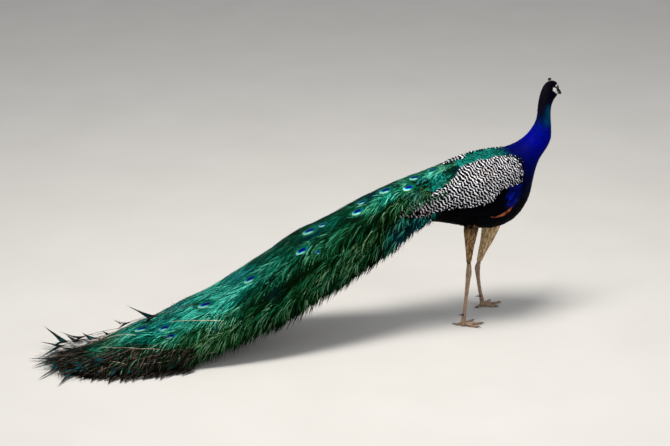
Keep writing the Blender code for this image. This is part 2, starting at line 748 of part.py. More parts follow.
def claw(name, root, along, ahead, radius):
    """A short horny hook, square to the end of its toe, its point just clear of the floor."""
    ahead = ahead / np.linalg.norm(ahead)
    side = np.cross(ahead, (0, 0, 1))
    side /= np.linalg.norm(side)
    rings = []
    for share, size in ((0.0, 0.86), (0.35, 0.66), (0.7, 0.40), (1.0, 0.08)):
        drop = (root[2] - CLAW_TIP_HEIGHT) * share**1.6
        middle = root + ahead * GAP + along * CLAW_LENGTH * share
        middle = middle + np.array((0, 0, CLAW_ARCH * math.sin(share * math.pi) - drop))
        forward = ahead if not share else along - np.array((0, 0, 0.5 * share))
        up = np.cross(side, forward / np.linalg.norm(forward))
        ring = []
        for angle in np.linspace(0, 2 * math.pi, 6, endpoint=False):
            ring.append(middle + radius * size * (side * math.cos(angle) * 0.8 + up * math.sin(angle)))
        rings.append([np.array((x, y, max(z, CLAW_LOWEST))) for x, y, z in ring])
    loft(name, rings, "horn")


def spur(name, rows, leg):
    root = smooth_row([row[0] for row in rows], SPUR_STATION)
    line = [
        root + np.array((-0.002 - SPUR_LENGTH * share, 0, 0.004 * share - 0.003 * share**2))
        for share in (0.0, 0.4, 0.75, 1.0)
    ]
    radii = [SPUR_RADIUS * size for size in (1.0, 0.72, 0.42, 0.1)]
    made = tube(name, line, radii, 8, "horn")
    socket(leg, made)


def make_legs():
    trunk = bpy.data.objects["trunk"]
    breast = bpy.data.objects["breast"]
    legs = (("right", -1, RIGHT_THIGH, RIGHT_SHANK), ("left", 1, LEFT_THIGH, LEFT_SHANK))
    for hand, side, thigh_rows, shank_rows in legs:
        upper = thigh(f"thigh_{hand}", thigh_rows)
        socket(trunk, upper)
        if hand == "left":
            socket(breast, upper)
        lower = shank(f"shank_{hand}", shank_rows)
        spur(f"spur_{hand}", shank_rows, lower)
        foot = make_foot(hand, side, shank_rows[-1][0])
        socket(foot, lower)


def centre_origin():
    """Moves the bird so that the origin is at the bottom centre of its box."""
    bpy.context.view_layer.update()
    graph = bpy.context.evaluated_depsgraph_get()
    solids = [thing for thing in bpy.data.objects if thing.type == "MESH" and not thing.hide_render]
    low, high = np.full(3, np.inf), np.full(3, -np.inf)
    for thing in solids:
        mesh = thing.evaluated_get(graph).data
        places = np.empty(len(mesh.vertices) * 3)
        mesh.vertices.foreach_get("co", places)
        places = places.reshape(-1, 3)
        low, high = np.minimum(low, places.min(0)), np.maximum(high, places.max(0))
    root = bpy.data.objects.new("peacock", None)
    bpy.context.scene.collection.objects.link(root)
    for thing in bpy.data.objects:
        if thing.type == "MESH":
            thing.parent = root
    root.location = (-(low[0] + high[0]) / 2, -(low[1] + high[1]) / 2, 0.0)
    bpy.context.view_layer.update()


def main():
    clear_scene()
    body_lengths()
    make_face()
    make_rump()
    make_tail()
    make_train()
    make_plumes()
    make_wings()
    make_legs()
    centre_origin()


main()
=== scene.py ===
"""A life-size peacock in full train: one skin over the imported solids, and feathers laid over the skin.

Metres, +Z up. Every shape is worked out in the bird's own frame: +X is the way it heads, +Y its left,
and the origin is on the floor midway between its feet. add_piece moves a shape into the model's frame.

Feathers are of two kinds. A vane is a small curved blade laid on the skin, and a lock is a thin
tapering ribbon of loose barbs. Each carries marks, numbers at its points that the finishes read.
"""

import math

import bpy
import numpy as np
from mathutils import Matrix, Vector
from mathutils.bvhtree import BVHTree


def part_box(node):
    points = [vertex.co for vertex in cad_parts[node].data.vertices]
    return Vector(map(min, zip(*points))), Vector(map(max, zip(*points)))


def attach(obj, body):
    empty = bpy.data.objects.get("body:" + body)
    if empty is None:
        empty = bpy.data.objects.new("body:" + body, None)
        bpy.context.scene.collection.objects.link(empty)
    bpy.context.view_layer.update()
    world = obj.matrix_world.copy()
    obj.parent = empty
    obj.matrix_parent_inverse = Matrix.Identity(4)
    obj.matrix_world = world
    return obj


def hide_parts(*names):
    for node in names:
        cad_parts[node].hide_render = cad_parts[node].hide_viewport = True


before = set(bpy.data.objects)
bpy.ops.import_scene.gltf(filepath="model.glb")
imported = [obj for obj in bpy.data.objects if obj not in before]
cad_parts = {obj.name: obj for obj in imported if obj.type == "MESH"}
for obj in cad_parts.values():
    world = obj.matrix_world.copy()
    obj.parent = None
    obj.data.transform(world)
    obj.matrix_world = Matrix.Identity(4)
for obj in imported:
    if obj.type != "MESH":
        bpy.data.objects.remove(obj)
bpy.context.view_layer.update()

chance = np.random.default_rng(17)

# ---------------------------------------------------------------- the bird's frame
TRUNK_BACK = -0.190  # the trunk's hind end
trunk_low, trunk_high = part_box("trunk")
ORIGIN = np.array((trunk_low[0] - TRUNK_BACK, (trunk_low[1] + trunk_high[1]) / 2, 0.0))
HANDS = (("right", -1), ("left", 1))
UP = np.array((0.0, 0.0, 1.0))

# ---------------------------------------------------------------- axis of the body
NECK_AXIS_X = 0.247
HEAD_TURN = math.radians(27.0)
# middle of the body: (x, z, share of the head's turn), from the bill's root to the loin
BODY_LINE = (
    (0.3122, 0.7855, 1.00),
    (0.3047, 0.7885, 1.00),
    (0.2945, 0.7915, 1.00),  # 2 eyes
    (0.2820, 0.7925, 1.00),
    (0.2697, 0.7882, 1.00),  # 4 crown
    (0.2602, 0.7795, 1.00),
    (0.2537, 0.7675, 1.00),
    (0.2492, 0.7535, 0.97),
    (0.2467, 0.7360, 0.88),  # 8 nape to throat
    (0.2462, 0.7170, 0.72),
    (0.2467, 0.6960, 0.52),
    (0.2457, 0.6745, 0.33),
    (0.2392, 0.6500, 0.18),
    (0.2213, 0.6215, 0.07),
    (0.1910, 0.5915, 0.00),  # 14 foot of the neck
    (0.1595, 0.5625, 0.00),
    (0.1285, 0.5330, 0.00),  # 16 shoulders
    (0.0975, 0.5025, 0.00),
    (0.0525, 0.4705, 0.00),
    (-0.0030, 0.4530, 0.00),  # 19 belly
    (-0.0650, 0.4525, 0.00),
    (-0.1240, 0.4590, 0.00),
    (-0.1900, 0.4635, 0.00),  # 22 loin
)
LINE_STEPS = 16  # points worked out between two rows
LOIN = len(BODY_LINE) - 1

# ---------------------------------------------------------------- the train's surface
# (x, ridge height, half width, height of the edge); the first two rows lie on the back
TRAIN_ROWS = (
    (-0.060, 0.5800, 0.0700, 0.5350),
    (-0.120, 0.5660, 0.0860, 0.4800),
    (-0.190, 0.5460, 0.0900, 0.4200),
    (-0.250, 0.5310, 0.0930, 0.3880),
    (-0.320, 0.5090, 0.1020, 0.3420),
    (-0.420, 0.4670, 0.1240, 0.2920),
    (-0.520, 0.4180, 0.1400, 0.2450),
    (-0.620, 0.3790, 0.1540, 0.2040),
    (-0.720, 0.3150, 0.1640, 0.1500),
    (-0.820, 0.2540, 0.1680, 0.1250),
    (-0.920, 0.1970, 0.1670, 0.0950),
    (-1.020, 0.1620, 0.1600, 0.0640),
    (-1.120, 0.1180, 0.1550, 0.0300),
    (-1.210, 0.0960, 0.1450, 0.0070),
    (-1.290, 0.0580, 0.1310, 0.0040),
    (-1.360, 0.0380, 0.1100, 0.0040),
    (-1.420, 0.0220, 0.0760, 0.0040),
)
TRAIN_LAST = len(TRAIN_ROWS) - 1
TRAIN_DEPTH = 0.013  # how far the bed lies under the coat's outer surface
BED_THICK = 0.007
FLOOR_CLEAR = 0.0015  # the lowest that a loose barb lies over the floor

EYE_AT = (0.2925, 0.8045)  # (x, z) of the eyes on the unturned profile
EYE_SIDE = 0.0113  # how far each lies from the middle of the head
EYE_RADIUS = 0.0050

# ---------------------------------------------------------------- numbers and shapes


def unit(vectors):
    return vectors / np.maximum(np.linalg.norm(vectors, axis=-1, keepdims=True), 1e-9)


def looked_up(table, value):
    """What a table of (value, result) rows gives at a value, on straight lines between its rows."""
    return np.interp(value, *zip(*table))


def circle(count):
    """Evenly spaced turns, in radians."""
    return np.arange(count) / count * 2 * math.pi


def side_of(values):
    """1 where a value is on the left, and -1 on the right."""
    return np.where(values > 0, 1.0, -1.0)


def ease(low, high, value):
    """0 below low, 1 above high and a smooth rise between; falls where high is under low."""
    share = np.clip((value - low) / (high - low), 0.0, 1.0)
    return share * share * (3 - 2 * share)


def rows_at(rows, at):
    """The row at each fractional place, on smooth curves through the rows."""
    table = np.asarray(rows, float)
    at = np.clip(np.asarray(at, float), 0.0, len(table) - 1.0)
    low = np.minimum(at.astype(int), len(table) - 2)
    t = (at - low)[..., None]
    padded = np.concatenate([[2 * table[0] - table[1]], table, [2 * table[-1] - table[-2]]])
    before, start, end, after = (padded[low + k] for k in range(4))
    rise, fall = (end - before) / 2, (after - start) / 2
    return (
        start * (2 * t**3 - 3 * t**2 + 1)
        + rise * (t**3 - 2 * t**2 + t)
        + end * (3 * t**2 - 2 * t**3)
        + fall * (t**3 - t**2)
    )


def turned(x, y, z, share=1.0):
    """A point of the unturned profile, turned with the head by a share of its turn."""
    angle = HEAD_TURN * np.asarray(share, float)
    along = x - NECK_AXIS_X
    cos, sin = np.cos(angle), np.sin(angle)
    parts = (NECK_AXIS_X + along * cos - y * sin, along * sin + y * cos, z)
    return np.stack(np.broadcast_arrays(*parts), -1)


def head_way(along, left, up):
    """A way given on the unturned profile, turned with the head."""
    return turned(NECK_AXIS_X + along, left, up) - turned(NECK_AXIS_X, 0.0, 0.0)


def unturned(points):
    """The head's points with its turn taken off."""
    along, side = points[..., 0] - NECK_AXIS_X, points[..., 1]
    cos, sin = math.cos(HEAD_TURN), math.sin(HEAD_TURN)
    parts = (NECK_AXIS_X + along * cos + side * sin, side * cos - along * sin, points[..., 2])
    return np.stack(parts, -1)


def body_axis():
    """Points down the middle of the body, and the way to the tail, the left side and the back."""
    x, z, share = rows_at(BODY_LINE, np.arange(0, LOIN + 1e-6, 1 / LINE_STEPS)).T
    places = turned(x, 0.0, z, share)
    tailward = unit(np.gradient(places, axis=0))
    turn = HEAD_TURN * share
    side = np.stack((-np.sin(turn), np.cos(turn), np.zeros_like(turn)), -1)
    return places, tailward, side, unit(np.cross(side, tailward))


AXIS, AXIS_TAILWARD, AXIS_SIDE, AXIS_BACK = body_axis()


def body_place(points):
    """Where points lie on the body: station, degrees round from the belly, and the way to the tail."""
    nearest = np.empty(len(points), int)
    for start in range(0, len(points), 20000):
        part = points[start : start + 20000, None] - AXIS[None]
        nearest[start : start + 20000] = (part**2).sum(-1).argmin(1)
    offset = points - AXIS[nearest]
    across = np.abs((offset * AXIS_SIDE[nearest]).sum(-1))
    rise = (offset * AXIS_BACK[nearest]).sum(-1)
    around = np.degrees(np.arctan2(across, -rise))
    return nearest / LINE_STEPS, around, AXIS_TAILWARD[nearest]


def ripple(a, b, scale, seed):
    """Soft waves over two coordinates, from about -1 to 1."""
    waves = np.random.default_rng(seed)
    total = np.zeros(np.broadcast(a, b).shape)
    for _ in range(6):
        way, phase = waves.uniform(0, 2 * math.pi, 2)
        pitch = scale * waves.uniform(0.6, 1.7)
        total += np.sin((a * math.cos(way) + b * math.sin(way)) * pitch + phase)
    return total / 3.2


# ---------------------------------------------------------------- finishes


class Value:
    """What a socket gives, in a finish being mixed. Arithmetic on it adds Math nodes."""

    def __init__(self, mixing, socket):
        self.mixing, self.socket = mixing, socket

    def __add__(self, other):
        return self.mixing.math("ADD", self, other)

    def __sub__(self, other):
        return self.mixing.math("SUBTRACT", self, other)

    def __rsub__(self, other):
        return self.mixing.math("SUBTRACT", other, self)

    def __mul__(self, other):
        return self.mixing.math("MULTIPLY", self, other)

    __radd__, __rmul__ = __add__, __mul__

    def sine(self):
        return self.mixing.math("SINE", self)


class Mixing:
    """The nodes of one finish while it is being mixed."""

    def __init__(self, name):
        self.material = bpy.data.materials.new(name)
        self.material.use_nodes = True
        self.tree = self.material.node_tree
        self.shader = self.tree.nodes["Principled BSDF"]

    def feed(self, socket, value):
        if isinstance(value, Value):
            self.tree.links.new(value.socket, socket)
        elif socket.type == "RGBA":
            socket.default_value = (*value, 1.0)
        else:
            socket.default_value = value

    def add(self, kind, settings=None, sockets=None, out=0):
        """Any node: its type, its settings, which are set first, and its sockets' values or links."""
        node = self.tree.nodes.new("ShaderNode" + kind)
        for key, value in (settings or {}).items():
            if key == "stops":
                self.set_stops(node.color_ramp.elements, value)
            else:
                setattr(node, key, value)
        for key, value in (sockets or {}).items():
            self.feed(node.inputs[key], value)
        return Value(self, node.outputs[out])

    @staticmethod
    def set_stops(elements, stops):
        while len(elements) < len(stops):
            elements.new(1.0)
        for element, (place, colour) in zip(elements, stops):
            element.position = place
            element.color = (*colour, 1.0)

    def math(self, operation, *values):
        return self.add("Math", {"operation": operation}, dict(enumerate(values)))

    def mark(self, name):
        return self.add("Attribute", {"attribute_name": name}, out=2)

    def place(self):
        return self.add("TexCoord", out=3)

    def noise(self, scale, detail=2.0, where=None):
        sockets = {"Scale": scale, "Detail": detail, "Vector": where or self.place()}
        return self.add("TexNoise", {}, sockets)

    def stretched(self, *scales):
        """The place with each axis scaled, for grain that runs one way."""
        return self.add("VectorMath", {"operation": "MULTIPLY"}, {0: self.place(), 1: scales})

    def blend(self, share, low, high, kind="MIX"):
        settings = {"data_type": "RGBA", "blend_type": kind}
        return self.add("Mix", settings, {0: share, 6: low, 7: high}, out=2)

    def shaded(self, colour, shade):
        grey = self.add("CombineColor", {}, {0: shade, 1: shade, 2: shade})
        return self.blend(1.0, colour, grey, "MULTIPLY")

    def ramp(self, share, *stops):
        return self.add("ValToRGB", {"stops": stops}, {0: share})

    def span(self, value, low, high, to_low=0.0, to_high=1.0):
        sockets = {0: value, 1: low, 2: high, 3: to_low, 4: to_high}
        return self.add("MapRange", {"interpolation_type": "SMOOTHSTEP"}, sockets)

    def relief(self, height, strength, distance):
        sockets = {"Strength": strength, "Distance": distance, "Height": height}
        return self.add("Bump", {}, sockets)

    def done(self, colour, roughness, **sockets):
        self.feed(self.shader.inputs["Base Color"], colour)
        self.feed(self.shader.inputs["Roughness"], roughness)
        for key, value in sockets.items():
            self.feed(self.shader.inputs[key.replace("_", " ")], value)
        return self.material


FEATHER_GLOSS = 0.015  # specular level of every feather: they drink light


def plumage_finish():
    """Skin and body feathers: one set of markings, blue neck, black belly, green back, dark wing."""
    m = Mixing("plumage")
    run, around, tint = m.mark("run"), m.mark("around"), m.mark("tint")
    colour = m.ramp(
        run,
        (0.00, (0.002, 0.002, 0.006)),
        (0.26, (0.001, 0.002, 0.010)),
        (0.36, (0.000, 0.004, 0.026)),
        (0.43, (0.000, 0.008, 0.080)),
        (0.50, (0.000, 0.003, 0.215)),
        (0.58, (0.000, 0.001, 0.215)),
        (0.64, (0.000, 0.001, 0.090)),
        (0.70, (0.000, 0.001, 0.028)),
        (0.77, (0.000, 0.000, 0.002)),
        (1.00, (0.001, 0.001, 0.001)),
    )
    fore = m.span(around, 150.0, 80.0) * m.span(run, 0.28, 0.36) * m.span(run, 0.50, 0.43)
    colour = m.blend(fore * 0.90, colour, (0.0, 0.060, 0.140))
    hind = m.span(around, 100.0, 150.0) * m.span(run, 0.12, 0.20) * m.span(run, 0.45, 0.34)
    colour = m.blend(hind * 0.7, colour, (0.006, 0.004, 0.006))
    green = m.ramp(
        tint,
        (0.00, (0.000, 0.010, 0.007)),
        (0.50, (0.000, 0.066, 0.050)),
        (1.00, (0.012, 0.330, 0.260)),
    )
    colour = m.blend(m.mark("mantle"), colour, green)
    blue = m.blend(tint, (0.000, 0.000, 0.012), (0.001, 0.010, 0.300))
    colour = m.blend(m.mark("covert"), colour, blue)
    # buff is the down as lit on the far thigh; the near thigh gets the same down darkened as painted shade
    buff = m.blend(tint, (0.400, 0.260, 0.130), (0.640, 0.460, 0.270))
    shaded_buff = m.blend(tint, (0.070, 0.034, 0.010), (0.380, 0.235, 0.110))
    colour = m.blend(m.mark("down"), colour, m.blend(m.mark("near_leg"), buff, shaded_buff))
    colour = m.blend(m.mark("bare"), colour, (0.980, 0.980, 0.950))
    shade = m.mark("shade") * (0.80 + 0.4 * m.noise(170.0))
    colour = m.shaded(colour, shade)
    grain = m.noise(1.0, 3.0, m.stretched(900.0, 900.0, 420.0))
    rough = m.span(m.noise(60.0), 0.3, 0.7, 0.48, 0.62)
    normal = m.relief(grain, 0.30, 0.0008)
    metal = 0.30 * m.mark("mantle")
    return m.done(colour, rough, Metallic=metal, Specular_IOR_Level=FEATHER_GLOSS, Normal=normal)


def barred_finish():
    """The barred feathers of the folded wing: wavy black bars on pale lilac-grey, finer in front."""
    m = Mixing("barred_feather")
    tint = m.mark("tint")
    wander = (m.noise(38.0, 3.0) - 0.5) * 0.9 + (m.noise(130.0, 2.0) - 0.5) * m.mark("mottle")
    wave = ((m.mark("phase") + wander) * (2 * math.pi)).sine()
    bar = m.span(wave + (m.noise(80.0) - 0.5) * 0.8, -0.78, -0.56)
    pale = m.blend(tint, (0.740, 0.735, 0.790), (0.920, 0.920, 0.970))
    pale = m.blend(m.mark("rusty") * 0.7, pale, (0.520, 0.330, 0.310))
    pale = m.blend(m.span(m.noise(26.0), 0.58, 0.72) * 0.5, pale, (0.700, 0.600, 0.540))
    colour = m.blend(bar, pale, (0.004, 0.004, 0.006))
    colour = m.shaded(colour, m.mark("shade"))
    grain = m.noise(1.0, 3.0, m.stretched(500.0, 900.0, 1100.0))
    return m.done(colour, 0.65, Specular_IOR_Level=FEATHER_GLOSS, Normal=m.relief(grain, 0.25, 0.0008))


def lock_finish():
    """Loose green barbs of the train, darkened with painted shade towards the root."""
    m = Mixing("train_barbs")
    tint, along = m.mark("tint"), m.mark("along")
    emerald = m.ramp(
        tint,
        (0.00, (0.000, 0.002, 0.000)),
        (0.15, (0.000, 0.007, 0.001)),
        (0.40, (0.000, 0.050, 0.016)),
        (0.70, (0.010, 0.165, 0.078)),
        (1.00, (0.150, 0.380, 0.240)),
    )
    bronze = m.ramp(
        tint,
        (0.00, (0.000, 0.002, 0.000)),
        (0.15, (0.001, 0.006, 0.000)),
        (0.40, (0.008, 0.040, 0.006)),
        (0.70, (0.065, 0.160, 0.045)),
        (1.00, (0.230, 0.370, 0.190)),
    )
    teal = m.ramp(
        tint,
        (0.00, (0.000, 0.003, 0.002)),
        (0.15, (0.000, 0.014, 0.009)),
        (0.40, (0.000, 0.085, 0.057)),
        (0.70, (0.008, 0.380, 0.275)),
        (1.00, (0.120, 0.720, 0.570)),
    )
    colour = m.blend(m.mark("hue"), emerald, bronze)
    colour = m.blend(m.mark("teal"), colour, teal)
    colour = m.blend(m.mark("blue"), colour, m.blend(tint, (0.0, 0.016, 0.040), (0.004, 0.170, 0.320)))
    dusk = m.ramp(
        tint,
        (0.00, (0.001, 0.001, 0.001)),
        (0.50, (0.010, 0.007, 0.005)),
        (1.00, (0.160, 0.120, 0.085)),
    )
    colour = m.blend(m.mark("dusk"), colour, dusk)
    # painted shade: each barb goes near black towards its root, where it runs under the others
    colour = m.blend(m.span(along, 0.35, 0.0), colour, (0.000, 0.004, 0.002))
    return m.done(colour, 0.55, Metallic=0.25 * (1 - m.mark("dusk")), Specular_IOR_Level=FEATHER_GLOSS)


def ocellus_finish():
    """The eye spot: indigo heart, turquoise ring, a bronze rim that is pale behind, green beyond."""
    m = Mixing("eye_spot")
    ring = m.mark("ring") + (m.noise(260.0) - 0.5) * 0.08
    front = m.ramp(
        ring,
        (0.00, (0.001, 0.001, 0.060)),
        (0.36, (0.000, 0.001, 0.110)),
        (0.46, (0.000, 0.003, 0.130)),
        (0.54, (0.000, 0.050, 0.080)),
        (0.66, (0.000, 0.080, 0.060)),
        (0.80, (0.000, 0.070, 0.035)),
        (1.00, (0.000, 0.055, 0.028)),
    )
    behind = m.ramp(
        ring,
        (0.00, (0.001, 0.001, 0.060)),
        (0.36, (0.000, 0.001, 0.120)),
        (0.45, (0.000, 0.012, 0.220)),
        (0.54, (0.000, 0.240, 0.330)),
        (0.66, (0.060, 0.420, 0.380)),
        (0.76, (0.300, 0.480, 0.380)),
        (0.86, (0.060, 0.200, 0.120)),
        (0.95, (0.002, 0.110, 0.060)),
    )
    colour = m.blend(m.mark("hinder"), front, behind)
    return m.done(colour, 0.45, Metallic=0.30, Specular_IOR_Level=FEATHER_GLOSS)


def fork_finish():
    """The forked plumes: black-brown barbs with a teal gleam about the fork."""
    m = Mixing("forked_barbs")
    along = m.mark("along")
    gleam = m.span(along, 0.10, 0.35) * m.span(along, 0.80, 0.50) * m.span(m.noise(45.0), 0.42, 0.60)
    colour = m.blend(m.noise(300.0), (0.003, 0.003, 0.002), (0.020, 0.014, 0.010))
    colour = m.blend(gleam, colour, (0.001, 0.050, 0.062))
    return m.done(colour, 0.55, Specular_IOR_Level=FEATHER_GLOSS)


def simple_finish(name, low, high, scale, roughness, grain=0.0, metal=0.0, gloss=0.3):
    """Two tones of one colour in soft patches, with an optional fine grain."""
    m = Mixing(name)
    colour = m.blend(m.span(m.noise(scale, 3.0), 0.35, 0.65), low, high)
    rough = m.span(m.noise(scale * 2.3), 0.3, 0.7, roughness * 0.85, min(1.0, roughness * 1.15))
    sockets = {"Metallic": metal, "Specular_IOR_Level": gloss}
    if grain:
        sockets["Normal"] = m.relief(m.noise(scale * 9, 3.0), grain, 0.0006)
    return m.done(colour, rough, **sockets)


def leg_finish():
    """Dry horny scales in two tones, darker along the rims where one plate meets the next."""
    m = Mixing("leg_scale")
    rim = m.mark("rim")
    tone = m.blend(m.span(m.noise(90.0, 3.0), 0.35, 0.65), (0.205, 0.122, 0.072), (0.345, 0.222, 0.140))
    colour = m.blend(rim, tone, (0.090, 0.066, 0.055))
    grain = m.noise(1400.0, 2.0)
    return m.done(colour, 0.55, Normal=m.relief(grain, 0.25, 0.0004))


def eye_finish():
    """Dark brown iris round a black pupil, under a wet clear coat."""
    m = Mixing("eye_wet")
    ring = m.mark("ring")
    iris = m.blend(m.noise(900.0), (0.060, 0.022, 0.008), (0.170, 0.075, 0.028))
    colour = m.blend(m.span(ring, 0.50, 0.54), (0.002, 0.002, 0.002), iris)
    colour = m.blend(m.span(ring, 0.86, 0.95), colour, (0.010, 0.006, 0.004))
    return m.done(colour, 0.06, Coat_Weight=1.0)


# ---------------------------------------------------------------- making pieces


def placed(name, data):
    """A new object in the scene."""
    thing = bpy.data.objects.new(name, data)
    bpy.context.scene.collection.objects.link(thing)
    return thing


def add_piece(name, points, faces, finish, marks=None, patches=None, replaces=()):
    """A mesh piece of the model. faces holds arrays of corners, one array for each face size."""
    mesh = bpy.data.meshes.new(name)
    faces = faces if isinstance(faces, list) else [faces]
    corners = np.concatenate([np.asarray(group).ravel() for group in faces]).astype(np.int32)
    sizes = np.concatenate([np.full(len(group), np.shape(group)[1]) for group in faces])
    mesh.vertices.add(len(points))
    mesh.vertices.foreach_set("co", (np.asarray(points) + ORIGIN).astype(np.float32).ravel())
    mesh.loops.add(len(corners))
    mesh.loops.foreach_set("vertex_index", corners)
    mesh.polygons.add(len(sizes))
    starts = np.concatenate([[0], np.cumsum(sizes)[:-1]]).astype(np.int32)
    mesh.polygons.foreach_set("loop_start", starts)
    mesh.update(calc_edges=True)
    mesh.shade_smooth()
    for mark, values in (marks or {}).items():
        layer = mesh.attributes.new(mark, "FLOAT", "POINT")
        layer.data.foreach_set("value", np.broadcast_to(values, len(points)).astype(np.float32).copy())
    if patches is not None:
        layer = mesh.uv_layers.new(name="OFBake")
        layer.uv.foreach_set("vector", np.asarray(patches)[corners].astype(np.float32).ravel())
    mesh.materials.append(finish)
    piece = placed(name, mesh)
    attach(piece, "root")
    if replaces:
        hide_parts(*replaces)


def solid(*names):
    """Points, in the bird's frame, and triangles of CAD nodes taken together."""
    points, faces, start = [], [], 0
    for name in names:
        own, corners = shape_of(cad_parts[name].data)
        points.append(own - ORIGIN)
        faces.append(corners + start)
        start += len(own)
    return np.concatenate(points), np.concatenate(faces)


def ring_faces(shape, flip=False):
    """Quads between closed rings of points; shape is (rings, points in each)."""
    index = np.arange(shape[0] * shape[1]).reshape(shape[:2])
    right = np.roll(index, -1, axis=1)
    before, after = (index[1:], right[:-1]) if flip else (right[:-1], index[1:])
    return np.stack((index[:-1], before, right[1:], after), -1).reshape(-1, 4)


def grid_faces(rows, columns):
    """Quads between the points of an open grid."""
    start = (np.arange(rows - 1)[:, None] * columns + np.arange(columns - 1)).ravel()
    return np.stack((start, start + 1, start + columns + 1, start + columns), 1)


def shape_of(mesh):
    """A mesh's points and its triangles' corners."""
    mesh.calc_loop_triangles()
    points = np.empty(len(mesh.vertices) * 3)
    mesh.vertices.foreach_get("co", points)
    corners = np.empty(len(mesh.loop_triangles) * 3, np.int32)
    mesh.loop_triangles.foreach_get("vertices", corners)
    return points.reshape(-1, 3), corners.reshape(-1, 3)


def edges_of(faces):
    return np.concatenate([faces[:, [0, 1]], faces[:, [1, 2]], faces[:, [2, 0]]])


def tree_of(points, faces):
    return BVHTree.FromPolygons(points.tolist(), faces.tolist())


def joined(parts):
    """Several (points, faces, marks) as one; faces are single arrays of the same width."""
    points, faces, marks, start = [], [], {}, 0
    for own_points, own_faces, own_marks in parts:
        points.append(own_points)
        faces.append(own_faces + start)
        for key, values in own_marks.items():
            marks.setdefault(key, []).append(np.broadcast_to(values, len(own_points)))
        start += len(own_points)
    return np.concatenate(points), np.concatenate(faces), {k: np.concatenate(v) for k, v in marks.items()}


# ---------------------------------------------------------------- skin
FLESH = ["head", "neck_upper", "neck_middle", "neck_lower", "breast", "trunk", "rump"]
FLESH += [f"thigh_{hand}" for hand, _ in HANDS]
WING_BANDS = ("scapulars", "coverts", "flights")
WING_NODES = [f"wing_{hand}_{band}" for hand, _ in HANDS for band in WING_BANDS]
EYES = ["eye_right", "eye_left"]
SKIN_VOXEL = 0.0030
WING_GROW = 0.0026  # the wings' copies swell by this to close on the flanks
# how far the skin lies inside the solids' surface, which leaves room for the feathers
HEAD_DEPTH, NECK_DEPTH, BODY_DEPTH = 0.0012, 0.0022, 0.0040
SMOOTHING_ROUNDS = 4
DOWN_FROM, DOWN_FULL = 0.370, 0.356  # heights where the thighs' buff down starts and is full


def crossed(points, faces):
    """Each triangle's normal, twice its area long."""
    corners = points[faces]
    return np.cross(corners[:, 1] - corners[:, 0], corners[:, 2] - corners[:, 0])


def point_normals(points, faces):
    normals = crossed(points, faces)
    total = np.zeros_like(points)
    for corner in range(3):
        np.add.at(total, faces[:, corner], normals)
    return unit(total)


def remeshed(points, faces):
    """One closed surface round everything, from small cubes, as points and triangles."""
    mesh = bpy.data.meshes.new("flesh")
    mesh.from_pydata(points.tolist(), [], faces.tolist())
    thing = placed("flesh", mesh)
    remesh = thing.modifiers.new("one_surface", "REMESH")
    remesh.mode = "VOXEL"
    remesh.voxel_size = SKIN_VOXEL
    made = shape_of(thing.evaluated_get(bpy.context.evaluated_depsgraph_get()).to_mesh())
    bpy.data.objects.remove(thing)
    bpy.data.meshes.remove(mesh)
    return made


def smoothed(points, faces, rounds):
    """Each point drawn towards the middle of its neighbours, then let out to keep the size."""
    ends = edges_of(faces)
    count = np.bincount(ends[:, 0], minlength=len(points)).astype(float)[:, None]
    for step in range(2 * rounds):
        middle = np.zeros_like(points)
        for axis in range(3):
            middle[:, axis] = np.bincount(ends[:, 0], points[ends[:, 1], axis], len(points))
        points = points + (middle / count - points) * (0.55 if step % 2 == 0 else -0.45)
    return points


def distances(points, wanted, names):
    """How far the wanted points are from CAD nodes, and a large number for the others."""
    tree = tree_of(*solid(*names))
    found = np.full(len(points), 1.0)
    for index in np.flatnonzero(wanted):
        found[index] = tree.find_nearest(Vector(points[index]))[3]
    return found


